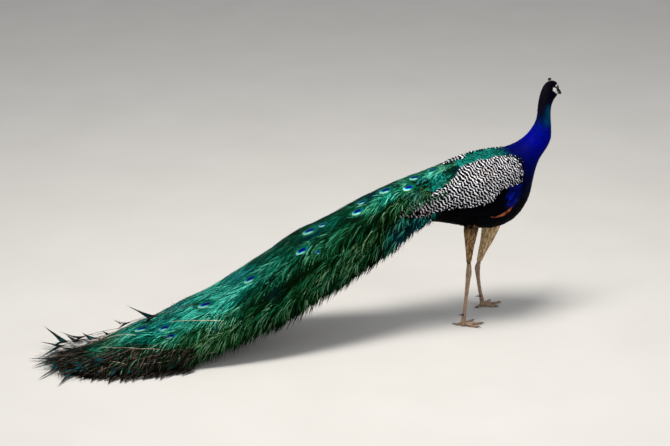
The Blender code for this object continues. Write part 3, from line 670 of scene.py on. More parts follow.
class Skin:
    """The bird's one skin, with its markings at every point."""

    def __init__(self):
        flesh, flesh_faces = solid(*FLESH, *EYES)
        wings, wing_faces = solid(*WING_NODES)
        wings = wings + point_normals(wings, wing_faces) * WING_GROW
        points = np.concatenate([flesh, wings])
        faces = np.concatenate([flesh_faces, wing_faces + len(flesh)])
        points, self.faces = remeshed(points, faces)
        points = smoothed(points, self.faces, SMOOTHING_ROUNDS)
        station = body_place(points)[0]
        near_wing = (np.abs(points[:, 1]) > 0.045) & (points[:, 0] < 0.25) & (points[:, 2] > 0.33)
        gaps = {}
        for band in WING_BANDS:
            names = [f"wing_{hand}_{band}" for hand, _ in HANDS]
            gaps[band] = distances(points, near_wing, names)
        low_down = (points[:, 2] < 0.42) & (station > 16)
        leg = distances(points, low_down, ["thigh_right", "thigh_left"])
        wing = ease(0.008, 0.003, np.min([gaps[band] for band in WING_BANDS], axis=0))
        depth = np.interp(station, (0, 7, 10, 14), (HEAD_DEPTH, HEAD_DEPTH, NECK_DEPTH, BODY_DEPTH))
        depth = depth + wing * WING_GROW
        self.down = ease(0.006, 0.002, leg) * ease(DOWN_FROM, DOWN_FULL, points[:, 2])
        normals = point_normals(points, self.faces)
        self.points = points - normals * depth[:, None]
        self.normals = point_normals(self.points, self.faces)
        _, self.around, self.tailward = body_place(self.points)
        self.station = station
        self.gaps = gaps
        self.tree = tree_of(self.points, self.faces)
        self.face_normals = unit(self.normals[self.faces].mean(1))
        self.area = np.linalg.norm(crossed(self.points, self.faces), axis=1) / 2
        self.marks = self.mark_out()

    def mark_out(self):
        """The markings: numbers at every point that the finishes of skin and feathers read."""
        x, y, z = self.points.T
        # the left wing's barred feathers that show over the back
        far_strip = (y > 0.020) & (y < 0.075) & (x > -0.092) & (x < -0.020) & (z > 0.53)
        above = z > looked_up(BARRED_EDGE, x)
        reach = np.interp(x, (0.09, 0.12), (0.0075, 0.0100))
        barred = ((self.gaps["scapulars"] < reach) & (self.down < 0.5) & above) | far_strip
        shut = ~barred & (self.down < 0.5)
        lower_wing = np.minimum(self.gaps["coverts"], self.gaps["flights"]) < 0.0070
        # the coverts at the wing's front are a bright blue
        bright = ease(0.086, 0.108, x) * ease(0.440, 0.462, z) * ease(0.142, 0.124, x)
        return {
            "run": self.station / LOIN,
            "around": self.around,
            "barred": barred * 1.0,
            "wing": (shut & lower_wing) * 1.0,
            "covert": (shut & lower_wing) * bright,
            "mantle": mantle_share(self.station, self.around) * ~lower_wing,
            "down": self.down,
            # the near thigh's down is darkened there as painted shade
            "near_leg": (y < 0) * 1.0,
            "bare": bare_share(self.points, self.station) * 1.0,
        }


# The line (x, z) of the lowest roots of the barred feathers
BARRED_EDGE = (
    (-0.300, 0.438),
    (-0.168, 0.446),
    (-0.111, 0.462),
    (-0.034, 0.456),
    (0.035, 0.466),
    (0.070, 0.506),
    (0.096, 0.519),
    (0.116, 0.510),
    (0.150, 0.506),
)


def mantle_share(station, around):
    """How green the back is: nothing on the neck and the flanks, full along the middle."""
    return ease(14.7, 16.0, station) * ease(108, 126, around)


# The bare white skin of the face: streaks (x, z) to (x, z) on the unturned profile, with a half width
BARE_STREAKS = (
    ((0.2770, 0.8010), (0.2860, 0.7965), 0.0066),
    ((0.2890, 0.7890), (0.3060, 0.7795), 0.0047),
    ((0.2895, 0.8102), (0.3060, 0.8128), 0.0023),
)


def bare_share(points, station):
    """True on the bare streaks of both cheeks."""
    flat = unturned(points)[:, [0, 2]]
    found = np.zeros(len(points), bool)
    for start, end, half in BARE_STREAKS:
        start, end = np.array(start), np.array(end)
        way = end - start
        share = np.clip(((flat - start) @ way) / (way @ way), 0, 1)[:, None]
        found |= np.linalg.norm(flat - start - way * share, axis=1) < half
    return found & (station < 7)


# ---------------------------------------------------------------- feathers on the skin
FACE_ROWS, BODY_ROWS = (0.0, 0.5, 1.0), (0.0, 0.35, 0.72, 1.0)
BLADE = ((0.0, 0.42), (0.22, 0.80), (0.55, 1.00), (0.82, 0.80), (1.0, 0.26))
PATCH = 0.003  # width of a small feather's patch on the unwrapped skin
VANE_REACH = 0.02  # a vane's points further than this from the skin are left where they are
FIT_MARGIN = 0.010  # how far a fitted feather's tip may end from its solid
WING_ROOM = 0.0070  # feathers before the wing stop this far from its scapulars
RUMP_SHADE = 0.28  # how much darker the rump's feathers are


def spread(skin, wanted, spacing):
    """Places on the wanted faces, no two closer than the spacing."""
    area = skin.area * wanted
    tries = int(area.sum() / spacing**2 * 5) + 8
    face = chance.choice(len(area), tries, p=area / area.sum())
    a, b = chance.random((2, tries))
    over = a + b > 1
    a, b = np.where(over, 1 - a, a), np.where(over, 1 - b, b)
    corners = skin.points[skin.faces[face]]
    points = corners[:, 0] + (corners[:, 1] - corners[:, 0]) * a[:, None]
    points += (corners[:, 2] - corners[:, 0]) * b[:, None]
    cells, kept = {}, []
    steps = [(i, j, k) for i in (-1, 0, 1) for j in (-1, 0, 1) for k in (-1, 0, 1)]
    keys = np.floor(points / spacing).astype(int).tolist()
    for index, ((i, j, k), (x, y, z)) in enumerate(zip(keys, points.tolist())):
        near = (other for di, dj, dk in steps for other in cells.get((i + di, j + dj, k + dk), ()))
        if any((u - x) ** 2 + (v - y) ** 2 + (w - z) ** 2 < spacing**2 for u, v, w in near):
            continue
        cells.setdefault((i, j, k), []).append((x, y, z))
        kept.append(index)
    return points[kept], face[kept]


def vane_grid(rows, columns):
    """Shares along and across a vane for each of its points, and its faces."""
    along, across = np.meshgrid(rows, columns, indexing="ij")
    return along.ravel(), across.ravel(), grid_faces(len(rows), len(columns))


def lay_vanes(skin, roots, faces_at, lies, lengths, widths, rows, columns, rise, arch):
    """Blades lying on the skin from their roots. Returns points, faces, along, across, feather."""
    along, across, faces = vane_grid(rows, columns)
    normals = skin.face_normals[faces_at]
    lies = unit(lies - normals * (lies * normals).sum(-1, keepdims=True))
    sides = np.cross(normals, lies)
    half = looked_up(BLADE, along) * across
    points = roots[:, None] + lies[:, None] * (lengths[:, None] * along)[..., None]
    points = points + sides[:, None] * (widths[:, None] / 2 * half)[..., None]
    flat = points.reshape(-1, 3)
    ups = np.repeat(normals, len(along), axis=0)
    tree, face_normals = skin.tree, skin.face_normals
    for index, place in enumerate(flat.tolist()):
        near, _, face, _ = tree.find_nearest(place, VANE_REACH)
        if near is not None:
            flat[index] = near
            ups[index] = face_normals[face]
    height = rise[:, None] * (0.15 + along) + arch[:, None] * (1 - across**2)
    flat = flat + unit(ups) * height.reshape(-1, 1)
    count = len(roots)
    faces = (faces[None] + (np.arange(count) * len(along))[:, None, None]).reshape(-1, 4)
    feather = np.repeat(np.arange(count), len(along))
    return flat, faces, np.tile(along, count), np.tile(across, count), feather


def skin_patches(station, around, side, along, across):
    """Each feather's patch at its root's place on the skin, slit along the back and laid flat."""
    u = 0.02 + 0.96 * station / LOIN
    v = 0.5 + side * (0.02 + 0.46 * around / 180.0)
    return np.stack((u + (along - 0.5) * PATCH, v + across * PATCH / 2), 1)


def fit_lengths(tree, roots, lies, lengths, margin):
    """Lengths cut so that each tip stays within a margin of a solid."""
    fitted = lengths.copy()
    for index, (root, lie, length) in enumerate(zip(roots, unit(lies), lengths)):
        for share in (1.0, 0.85, 0.7, 0.55, 0.4, 0.28):
            fitted[index] = length * share
            if tree.find_nearest(Vector(root + lie * length * share))[3] < margin:
                break
    return fitted


def body_feathers(skin, wanted, spacing, sizes, rows=BODY_ROWS, droop=0.0, rim=0.0, fit=None):
    """Small vanes over the wanted faces, in sizes given as in COATS. droop turns them downwards, rim
    brightens their edges, and fit is a solid that their tips stay close to."""
    points, face = spread(skin, wanted, spacing)
    corner = skin.faces[face][:, 0]
    station, around = skin.station[corner], skin.around[corner]
    lies = skin.tailward[corner].copy()
    lies += chance.normal(0, 0.10, lies.shape)
    lies[:, 2] -= droop
    count = len(points)
    stations, *sizes = zip(*sizes)
    lengths, widths, high = (np.interp(station, stations, size) for size in sizes)
    lengths = lengths * chance.uniform(0.85, 1.15, count)
    widths = widths * chance.uniform(0.9, 1.1, count)
    room = np.maximum(skin.gaps["scapulars"][corner] - WING_ROOM, 0.004)
    before_wing = (points[:, 0] > 0.10) & (station > 13)
    lengths = np.where(before_wing, np.minimum(lengths, room), lengths)
    if fit:
        lengths = fit_lengths(fit, points, lies, lengths, FIT_MARGIN)
    laid, faces, along, across, feather = lay_vanes(
        skin, points, face, lies, lengths, widths, rows, (-1.0, 0.0, 1.0), high, high * 0.36
    )
    tint = chance.random(count)
    own = {key: values[corner][feather] for key, values in skin.marks.items()}
    own["bare"] = (bare_share(points, station) * 1.0)[feather]
    edge = ease(0.45, 1.0, np.maximum(along, np.abs(across) * 0.9))
    own["tint"] = tint[feather] * (1 - 0.75 * rim) + rim * 0.75 * edge
    own["shade"] = (0.72 + 0.5 * tint)[feather] * (0.55 + 0.55 * along) * (1 - 0.22 * across**2)
    rump = ease(-0.075, -0.125, points[:, 0]) * (points[:, 2] > 0.47)
    own["shade"] = own["shade"] * (1 - RUMP_SHADE * rump[feather])
    own["shade"] = np.where(own["bare"] > 0.5, 1.0, own["shade"])
    side = side_of(points[:, 1])
    patches = skin_patches(station[feather], around[feather], side[feather], along, across)
    return laid, faces, own, patches


# The small feathers' sizes by station: (station, length, width, rise of the tip off the skin)
COATS = {
    "head": ((0, 0.0026, 0.0018, 0.0007), (3, 0.0040, 0.0024, 0.00085), (8, 0.0062, 0.0034, 0.0011)),
    "neck": ((8, 0.0085, 0.0044, 0.0014), (12, 0.0130, 0.0062, 0.0017), (16, 0.0190, 0.0090, 0.0020)),
    "breast": ((15, 0.0220, 0.0110, 0.0024), (19, 0.0280, 0.0135, 0.0032)),
    "mantle": ((14, 0.0140, 0.0105, 0.0022), (22, 0.0210, 0.0140, 0.0034)),
    "lower_wing": ((14, 0.0300, 0.0150, 0.0030), (22, 0.0420, 0.0140, 0.0034)),
    "thigh": ((14, 0.0200, 0.0050, 0.0024),),
}


def dress_body(skin, plumage):
    """Small feathers over head, neck, breast, belly, back, lower wing and thighs."""
    run = skin.station[skin.faces[:, 0]]
    marks = {key: values[skin.faces[:, 0]] for key, values in skin.marks.items()}
    barred, wing, down = (marks[key] > 0.4 for key in ("barred", "wing", "down"))
    scaled = (marks["mantle"] > 0.35) & ~barred & ~wing & ~down
    plain = ~barred & ~wing & ~down & ~scaled
    lower_wing = tree_of(*solid(*[name for name in WING_NODES if "scapulars" not in name]))
    # slot, faces, spacing and the rest of what body_feathers takes
    jobs = {
        "head": ("blue", plain & (run < 8.2), 0.0016, dict(rows=FACE_ROWS)),
        "neck": ("blue", plain & (run >= 8.0) & (run < 15.6), 0.0034, {}),
        "breast": ("black", plain & (run >= 15.4), 0.0062, {}),
        "mantle": ("green", scaled & (run >= 13.8), 0.0060, dict(rim=1.0)),
        "lower_wing": ("night_blue", wing, 0.0080, dict(droop=0.12, rim=0.3, fit=lower_wing)),
        "thigh": ("buff", down, 0.0042, dict(droop=3.0)),
    }
    for name, (slot, wanted, spacing, rest) in jobs.items():
        points, faces, own, patches = body_feathers(skin, wanted, spacing, COATS[name], **rest)
        add_piece(f"{name}_feathers", points, faces, plumage, own, patches)


# ---------------------------------------------------------------- the barred wing
WING_WAY = unit(np.array((-0.955, 0.0, -0.297)))  # from shoulder to tip
BAR_WAY = unit(np.array((-0.800, 0.0, -0.600)))  # square to the bars
BAR_BESIDE = unit(np.array((0.600, 0.0, -0.800)))  # along the bars
# pitch of the bars along BAR_WAY, from the shoulder
BAR_PITCHES = ((-0.45, 0.0082), (-0.39, 0.0090), (-0.31, 0.0108), (-0.15, 0.0118), (0.0, 0.0104))
WING_MARGIN = 0.0085  # how far a barred blade's tip may end from the scapulars' solid
BAR_WAVE, BAR_SWING = 0.021, 0.20  # length of a bar's waves, and how far they swing in bars
WING_ROWS = np.linspace(0, 1, 11)
WING_COLUMNS = np.linspace(-1, 1, 7)
# the blades of the wing: spacing between two x, then length and width by x
WING_SPACINGS = ((0.060, 0.25, 0.0070), (-0.080, 0.060, 0.0090), (-0.40, -0.080, 0.0085))
WING_LENGTHS = ((-0.33, 0.050), (-0.16, 0.052), (0.00, 0.042), (0.08, 0.030), (0.19, 0.014))
WING_WIDTHS = ((-0.33, 0.018), (-0.10, 0.020), (0.05, 0.017), (0.19, 0.009))


def bar_phase(along):
    """How many bars lie before each place along the wing's way."""
    fine = np.linspace(BAR_PITCHES[0][0], BAR_PITCHES[-1][0], 200)
    passed = np.cumsum(1 / looked_up(BAR_PITCHES, fine)) * (fine[1] - fine[0])
    return np.interp(along, fine, passed)


def grid_patches(feather, count, along, across):
    """Each large feather's own square of the map, row by row."""
    wide = math.ceil(math.sqrt(count))
    cell = 1.0 / wide
    u = (feather % wide + 0.5 + 0.44 * across) * cell
    v = (feather // wide + 0.06 + 0.88 * along) * cell
    return np.stack((u, v), 1)


def dress_wings(skin, barred):
    """The barred patch of each folded wing: overlapping blades, finer towards the shoulder."""
    middle = skin.points[skin.faces].mean(1)
    wanted = skin.marks["barred"][skin.faces[:, 0]] > 0.5
    for hand, side in HANDS:
        roots, faces_at = [], []
        for low, high, spacing in WING_SPACINGS:
            part = wanted & (middle[:, 0] >= low) & (middle[:, 0] < high) & (middle[:, 1] * side > 0)
            points, face = spread(skin, part, spacing)
            roots.append(points)
            faces_at.append(face)
        roots, faces_at = np.concatenate(roots), np.concatenate(faces_at)
        order = np.argsort(roots @ WING_WAY)[::-1]
        roots, faces_at = roots[order], faces_at[order]
        count, x = len(roots), roots[:, 0]
        on_back = ease(0.058, 0.030, np.abs(roots[:, 1])) * (x > -0.16)
        lies = np.tile(WING_WAY, (count, 1))
        lies[:, 2] -= 0.30 * ease(0.02, 0.17, x) * (1 - on_back)
        lies += chance.normal(0, 0.035, lies.shape)
        lengths = looked_up(WING_LENGTHS, x) * chance.uniform(0.9, 1.1, count)
        tree = tree_of(*solid(f"wing_{hand}_scapulars"))
        fitted = fit_lengths(tree, roots, lies, lengths, WING_MARGIN)
        lengths = np.where(on_back > 0.5, lengths * 0.6, fitted)
        widths = np.minimum(looked_up(WING_WIDTHS, x), lengths * 0.8)
        rise = np.interp(x, (-0.3, 0.19), (0.0046, 0.0020)) + 0.0030 * on_back
        points, faces, along, across, feather = lay_vanes(
            skin, roots, faces_at, lies, lengths, widths, WING_ROWS, WING_COLUMNS, rise, rise * 0.30
        )
        tint = chance.random(count)
        shift = chance.normal(0, 1, count) * np.interp(x, (-0.25, 0.05), (0.05, 0.12))
        beside = points @ BAR_BESIDE
        beside = beside + 0.006 * ripple(beside, points @ BAR_WAY, 18, 71)
        swing = BAR_SWING * np.sin(2 * math.pi * beside / BAR_WAVE)
        rusty = ease(-0.16, -0.27, points[:, 0]) * (0.4 + 0.6 * tint[feather])
        own = {
            "tint": tint[feather],
            "phase": bar_phase(points @ BAR_WAY) + shift[feather] - 0.34 * across**2 + swing,
            "mottle": 0.25 + 0.55 * ease(0.03, 0.12, points[:, 0]),
            "rusty": rusty,
            "shade": (0.72 + 0.30 * along) * (0.84 + 0.18 * tint[feather]) * (1 - 0.18 * across**2),
        }
        patches = grid_patches(feather, count, along, across)
        add_piece(f"barred_wing_{hand}", points, faces, barred, own, patches)


# The chestnut edge of the folded wing: the line (x, z) of its lowest feather, from in front
CHESTNUT_LINE = ((0.099, 0.4340), (0.084, 0.4160), (0.062, 0.4040), (0.038, 0.3985), (0.012, 0.4030))
CHESTNUT_BLADES = 4
CHESTNUT_STEP = 0.0026


def chestnut_blades(skin, finish):
    """Long narrow blades along the lower edge of each folded wing."""
    parts = []
    steps, columns = 22, np.linspace(-1, 1, 5)
    for _, side in HANDS:
        for blade in range(CHESTNUT_BLADES):
            at = np.linspace(0.20 * blade, len(CHESTNUT_LINE) - 1 - 0.45 * blade, steps)
            line = rows_at(CHESTNUT_LINE, at)
            rise = blade * CHESTNUT_STEP
            half = 0.0030 * np.sin(np.linspace(0.10, 1, steps) * math.pi * 0.96) ** 0.8
            sheet = []
            for (x, z), wide in zip(line, half):
                for column in columns:
                    start = Vector((x, side * 0.30, z + rise + column * wide))
                    hit = skin.tree.ray_cast(start, Vector((0, -side, 0)))[0]
                    place = np.array(hit) if hit else np.array((x, side * 0.08, z + rise))
                    sheet.append(place + (0, side * (0.0045 + 0.0009 * blade - 0.0012 * column**2), 0))
            along, across, faces = vane_grid(np.linspace(0, 1, steps), columns)
            tone = chance.uniform(0.2, 1.0)
            parts.append((np.array(sheet), faces, {"along": along, "tint": tone * (1 - 0.3 * across**2)}))
    points, faces, marks = joined(parts)
    add_piece("chestnut_blades", points, faces, finish, marks)


# ---------------------------------------------------------------- train


def train_at(at, v):
    """Points of the train's outer surface. v is 0 on the ridge and 1 or -1 at the left or right edge;
    beyond that the surface hangs straight down."""
    x, ridge, width, edge = np.moveaxis(rows_at(TRAIN_ROWS, at), -1, 0)
    angle = np.minimum(np.abs(v), 1.0) * math.pi / 2
    across = np.sin(angle) ** 0.95 * width
    beyond = np.maximum(np.abs(v) - 1.0, 0.0) * ARC
    height = edge + (ridge - edge) * np.cos(angle) ** 0.8 - beyond
    return np.stack((x, np.sign(v) * across, height), -1)


ARC = 0.26  # length of the surface from ridge to edge, about
STEP_AT, STEP_V = 0.02, 0.004


def train_frame(at, v):
    """The way to the tail and the way to the left edge, unscaled, and the unit outward normal."""
    tailward = (train_at(at + STEP_AT, v) - train_at(at - STEP_AT, v)) / (2 * STEP_AT)
    leftward = (train_at(at, v + STEP_V) - train_at(at, v - STEP_V)) / (2 * STEP_V)
    normal = unit(np.cross(leftward, tailward))
    return tailward, leftward, normal


def train_bed(finish):
    """The close body of the train under its loose barbs, open below, dark with painted shade."""
    at, v = np.meshgrid(np.linspace(1.2, TRAIN_LAST, 90), np.linspace(-1, 1, 61), indexing="ij")
    outer = train_at(at, v)
    normal = train_frame(np.clip(at, 0.1, TRAIN_LAST - 0.1), np.clip(v, -0.97, 0.97))[2]
    end = ease(0.0, 2.5, TRAIN_LAST - at)[..., None]
    top = outer - normal * TRAIN_DEPTH * (0.3 + 0.7 * end)
    under = outer - normal * (TRAIN_DEPTH + BED_THICK) * (0.3 + 0.7 * end)
    for sheet in (top, under):
        sheet[..., 2] = np.maximum(sheet[..., 2], 2 * FLOOR_CLEAR)
    rows, columns = at.shape
    index = np.arange(rows * columns).reshape(rows, columns)
    quads = grid_faces(rows, columns)
    rim = np.concatenate([index[0], index[1:, -1], index[-1, -2::-1], index[-2:0:-1, 0]])
    after = np.roll(rim, -1)
    under_start = rows * columns
    walls = np.stack((rim, rim + under_start, after + under_start, after), 1)
    faces = np.concatenate([quads, quads[:, ::-1] + under_start, walls])
    points = np.concatenate([top.reshape(-1, 3), under.reshape(-1, 3)])
    nodes = [f"train_{part}_{hand}" for part in ("upper", "middle", "lower") for hand, _ in HANDS]
    add_piece("train_bed", points, faces, finish, replaces=nodes)


def lay_locks(locks, sections=4):
    """Ribbons that run over the train's surface. Each starts at (at, v), leaves the way to the tail by
    its first turn, towards the left where its way is 1, and swings to its last turn."""
    rows, places = [], []
    here_at, here_v = locks["at"].copy(), locks["v"].copy()
    way, length = locks["way"], locks["length"]
    for section in range(sections + 1):
        share = section / sections
        tailward, leftward, normal = train_frame(np.clip(here_at, 0.05, TRAIN_LAST), here_v)
        height = -locks["depth"] * (1 - share) ** 2 + locks["lift"] * math.sin(math.pi * (share * 0.8 + 0.1))
        beyond = np.maximum(here_at - TRAIN_LAST, 0.0)[:, None]
        places.append(train_at(here_at, here_v) + tailward * beyond + normal * height[:, None])
        turn = locks["start_turn"] + (locks["end_turn"] - locks["start_turn"]) * share
        long_at = np.linalg.norm(tailward, axis=-1)
        long_v = np.maximum(np.linalg.norm(leftward, axis=-1), 0.12)
        ahead = unit(tailward) * np.cos(turn)[:, None] + unit(leftward) * (np.sin(turn) * way)[:, None]
        rows.append((ahead, normal))
        here_at = here_at + np.cos(turn) * length / sections / long_at
        here_v = here_v + way * np.sin(turn) * length / sections / long_v
    return places, rows


TAPER = (0.55, 1.0, 0.95, 0.62, 0.0)  # width of a ribbon from its root to its tip, as a share
STEPS = np.linspace(0, 1, 5)  # where a loose strand's places lie along it


def ribbons(places, rows, width, taper=TAPER):
    """Tapering ribbons through their places; each section is two points but the last, which is one."""
    count, sections = len(width), len(places) - 1
    points, along = [], []
    for section in range(sections):
        ahead, normal = rows[section]
        side = unit(np.cross(normal, ahead))
        share = section / sections
        half = (width / 2 * np.interp(share * (len(taper) - 1), range(len(taper)), taper))[:, None]
        points += [places[section] - side * half, places[section] + side * half]
        along += [share, share]
    points.append(places[sections])
    along.append(1.0)
    each = len(points)
    made = np.stack(points, 1).reshape(-1, 3)
    made[:, 2] = np.maximum(made[:, 2], FLOOR_CLEAR)
    quads = np.array([(2 * k, 2 * k + 1, 2 * k + 3, 2 * k + 2) for k in range(sections - 1)])
    tip = np.array([(each - 3, each - 2, each - 1)])
    shift = (np.arange(count) * each)[:, None, None]
    faces = [(quads[None] + shift).reshape(-1, 4), (tip[None] + shift).reshape(-1, 3)]
    return made, faces, np.tile(along, count), np.repeat(np.arange(count), each)


def level_ways(angle):
    """Ways along the floor, with the normals of ribbons that lie flat on it."""
    ways = np.stack((np.cos(angle), np.sin(angle), np.zeros(len(angle))), 1)
    return ways, np.tile(UP, (len(angle), 1))


def own_ways(places, normal):
    """Ways ahead taken from the places themselves, with one normal for all."""
    rows, last = [], len(places) - 1
    for section in range(last + 1):
        after = places[min(section + 1, last)] - places[max(section - 1, 0)]
        rows.append((unit(after), np.tile(normal, (len(after), 1))))
    return rows


def gathered(ribbon_sets):
    """Several results of ribbons as one: points, faces and shares along."""
    points, quads, tips, shares, start = [], [], [], [], 0
    for own, (own_quads, own_tips), along, _ in ribbon_sets:
        points.append(own)
        quads.append(own_quads + start)
        tips.append(own_tips + start)
        shares.append(along)
        start += len(own)
    return np.concatenate(points), [np.concatenate(quads), np.concatenate(tips)], np.concatenate(shares)


def train_patches(at, v, along):
    """Each lock's patch at its root's place on the train's surface laid flat."""
    across = np.tile((-1.0, 1.0), len(at) // 2 + 1)[: len(at)]
    u = 0.02 + 0.96 * np.clip(at / (TRAIN_LAST + 1), 0, 1)
    w = 0.5 + 0.46 * np.clip(v / 1.25, -1, 1)
    return np.stack((u + (along - 0.5) * PATCH, w + across * PATCH / 2), 1)


def add_strands(name, strands, marks, at, v, barbs, root=0.4):
    """A piece of loose strands. root is how far each seems along from where it starts."""
    points, faces, along, lock = strands
    own = {key: values[lock] for key, values in marks.items()}
    own["along"] = root + (1 - root) * along
    add_piece(name, points, faces, barbs, own, train_patches(at[lock], v[lock], along))


def strand_tints(count, share, low, high, dark):
    """Dark tints up to dark, and tints from low to high for a share of the strands, as painted highlights."""
    light = chance.random(count) < share
    return np.where(light, chance.uniform(low, high, count), chance.uniform(0, dark, count))


# Eye spots: (x, v) of the heart's middle, and size; v under 0 is on the right side
OCELLI = (
    (-0.160, 0.02, 0.58),
    (-0.226, -0.06, 0.74),
    (-0.260, -0.29, 0.80),
    (-0.331, -0.07, 0.86),
    (-0.415, -0.04, 0.66),
    (-0.441, -0.20, 0.84),
    (-0.555, -0.05, 0.60),
    (-0.600, -0.04, 1.00),
    (-0.648, -0.31, 0.95),
    (-0.603, -0.49, 0.50),
    (-0.819, -0.15, 0.95),
    (-0.974, -0.13, 1.05),
    (-1.186, -0.01, 1.00),
    (-1.120, -0.19, 0.85),
    (-1.113, -0.43, 0.85),
    (-0.160, 0.34, 0.62),
    (-0.215, 0.52, 0.70),
    (-0.262, 0.28, 0.78),
    (-0.325, 0.48, 0.84),
    (-0.390, 0.30, 0.90),
    (-0.470, 0.50, 0.92),
    (-0.525, 0.32, 0.94),
    (-0.610, 0.52, 0.98),
    (-0.690, 0.34, 1.02),
    (-0.745, 0.56, 1.02),
    (-0.860, 0.38, 1.06),
    (-0.930, 0.60, 1.04),
    (-1.030, 0.40, 1.08),
    (-1.090, 0.60, 1.04),
    (-1.200, 0.46, 1.00),
)
OCELLUS_LONG, OCELLUS_WIDE = 0.0330, 0.0240  # half sizes of the whole spot on the ridge
OCELLUS_RINGS, OCELLUS_AROUND = 12, 32
OCELLUS_LIFT = 0.0030
SPOT_BARBS = 90
SPOT_TURN = math.radians(13.0)  # the spots lie flatter than the train, turned towards its ridge


def train_station(x):
    """The place along the train's rows where its surface is at x."""
    fine = np.linspace(0, TRAIN_LAST, 400)
    return np.interp(-np.asarray(x), -rows_at(TRAIN_ROWS, fine)[:, 0], fine)


def spot_frame(x, v):
    """An eye spot's station, middle, ways to the tail and the left, normal, and how wide it opens."""
    at = train_station(x)
    tailward, leftward, normal = train_frame(at, np.array(v))
    opening = OCELLUS_WIDE * np.interp(abs(v), (0.10, 0.50), (1.05, 0.72))
    return at, train_at(at, np.array(v)), tailward, leftward, normal, opening


def spot_turned(long, wide, v):
    """The same place after the spot is turned towards the ridge."""
    turn = SPOT_TURN if v < 0.1 else -SPOT_TURN
    return long * math.cos(turn) - wide * math.sin(turn), long * math.sin(turn) + wide * math.cos(turn)


def ocelli(finish):
    """Domed discs with a notched heart, lying on the train's back."""
    parts, patches = [], []
    side = math.ceil(math.sqrt(len(OCELLI)))
    rings = np.linspace(0.02, 1, OCELLUS_RINGS)
    ring, turn = np.meshgrid(rings, circle(OCELLUS_AROUND), indexing="ij")
    faces = ring_faces(ring.shape)
    for number, (x, v, size) in enumerate(OCELLI):
        at, _, tailward, leftward, normal, opening = spot_frame(x, v)
        rough = 1 + (0.05 * np.sin(turn * 9 + number) + 0.04 * np.sin(turn * 17 + 2 * number)) * ring
        long = OCELLUS_LONG * size * ring * np.cos(turn) * rough
        wide = opening * size * ring * np.sin(turn) * rough
        long, wide = spot_turned(long, wide, v)
        here_at = at + long / np.linalg.norm(tailward)
        here_v = v + wide / np.linalg.norm(leftward)
        lift = OCELLUS_LIFT * (1 - 0.9 * ring[..., None] ** 2)
        points = train_at(here_at, here_v) + normal * lift
        notch = 0.16 * np.exp(-((turn - math.pi) ** 2) / 0.10) * ease(0.0, 0.3, ring) * (1 - ring)
        squash = 1 + 1.0 * np.sin(turn) ** 2 * (1 - ring) ** 1.2  # the heart is slimmer than the rim
        outer = 1.0 if v < 0 else -1.0
        marks = {
            "ring": (ring * squash + notch).ravel(),
            "hinder": (ease(0.05, 0.90, np.cos(turn + 0.85 * outer)) * np.ones_like(ring)).ravel(),
        }
        parts.append((points.reshape(-1, 3), faces, marks))
        u = (number % side + 0.5 + 0.46 * ring * np.cos(turn)) / side
        w = (number // side + 0.5 + 0.46 * ring * np.sin(turn)) / side
        patches.append(np.stack((u.ravel(), w.ravel()), 1))
    points, quads, marks = joined(parts)
    add_piece("eye_spots", points, quads, finish, marks, np.concatenate(patches))


def clear_of_spots(places, margin):
    """True for locks whose places all miss the eye spots."""
    clear = np.ones(len(places[0]), bool)
    for x, v, size in OCELLI:
        _, middle, tailward, leftward, _, opening = spot_frame(x, v)
        ahead, aside = unit(tailward), unit(leftward)
        for place in places[1:]:
            offset = place - middle
            near = np.abs(offset).max(-1) < 0.05
            long, wide = spot_turned(offset @ ahead, offset @ aside, v)
            long = long / (OCELLUS_LONG * size * margin)
            wide = wide / (opening * size * margin)
            clear &= ~near | (long**2 + wide**2 > 1)
    return clear


LOCK_PIECES = 7  # the train's barbs are split into as many pieces
LOOSE_FEATHERS = 210  # plumes that end without an eye spot
BARBS_PER_METRE = 1150
FILLER_LOCKS = 46000
FLANK_LOW, FLANK_HIGH = 0.24, 0.60  # of v: where the flanks begin to hang


def dark_line(v):
    """The x behind which the train is black-brown: further forward at its edges, less so on the left."""
    return -1.290 + 0.30 * np.abs(v) ** 1.3 - np.where(v > 0, 0.10, 0.0)


def shared_marks(at, v, tint, hue):
    """The colour marks of locks at their places on the train."""
    x = rows_at(TRAIN_ROWS, np.clip(at, 0, TRAIN_LAST))[:, 0]
    count, high = len(at), np.abs(v)
    band = np.interp(-x, (0.30, 0.45, 0.60, 0.92, 1.02), (0.64, 0.48, 0.64, 0.64, 0.50))
    # valley: a band along the train between ridge and flank where the tint is darkened, painted shade of a
    # fold
    valley = np.exp(-(((high - band) / 0.11) ** 2)) * ease(0.6, -0.3, ripple(at * 2.4, v * 5, 1.0, 46))
    tint = tint * (1 - 0.80 * valley * ease(-0.26, -0.38, x) * ease(-1.12, -1.00, x))
    teal = ease(0.62, 0.22, high) * (0.25 + 0.75 * ease(-0.62, -0.90, x)) * ease(-1.30, -1.16, x)
    teal = np.clip(teal + 0.45 * ease(0.1, 0.9, ripple(at * 2, v * 7, 1.0, 21)) * ease(0.8, 0.3, high), 0, 1)
    lobe = ease(-0.37, -0.25, x) * ease(0.62, 0.76, high)
    blue = 0.55 * lobe * ease(0.70, 0.82, high) * ease(-0.5, 0.4, ripple(at * 5, v * 20, 1.0, 22))
    blue = blue + 0.40 * ease(0.60, 0.90, ripple(at * 3.1, v * 12, 1.0, 23)) * ease(0.75, 0.35, high)
    dark_from = dark_line(v) - 0.010
    dusk = ease(dark_from, dark_from - 0.12, x + 0.05 * ripple(at * 5, v * 16, 1.0, 24))
    dusk = np.where((chance.random(count) < 0.22) & (x > -1.36), 0.0, dusk)
    tint = np.where(dusk > 0.5, tint * np.where(chance.random(count) < 0.16, 1.1, 0.5), tint)
    marks = {"tint": tint, "hue": hue, "teal": np.maximum(teal, lobe * 0.9), "blue": blue, "dusk": dusk}
    return {key: np.clip(values, 0, 1) for key, values in marks.items()}, x


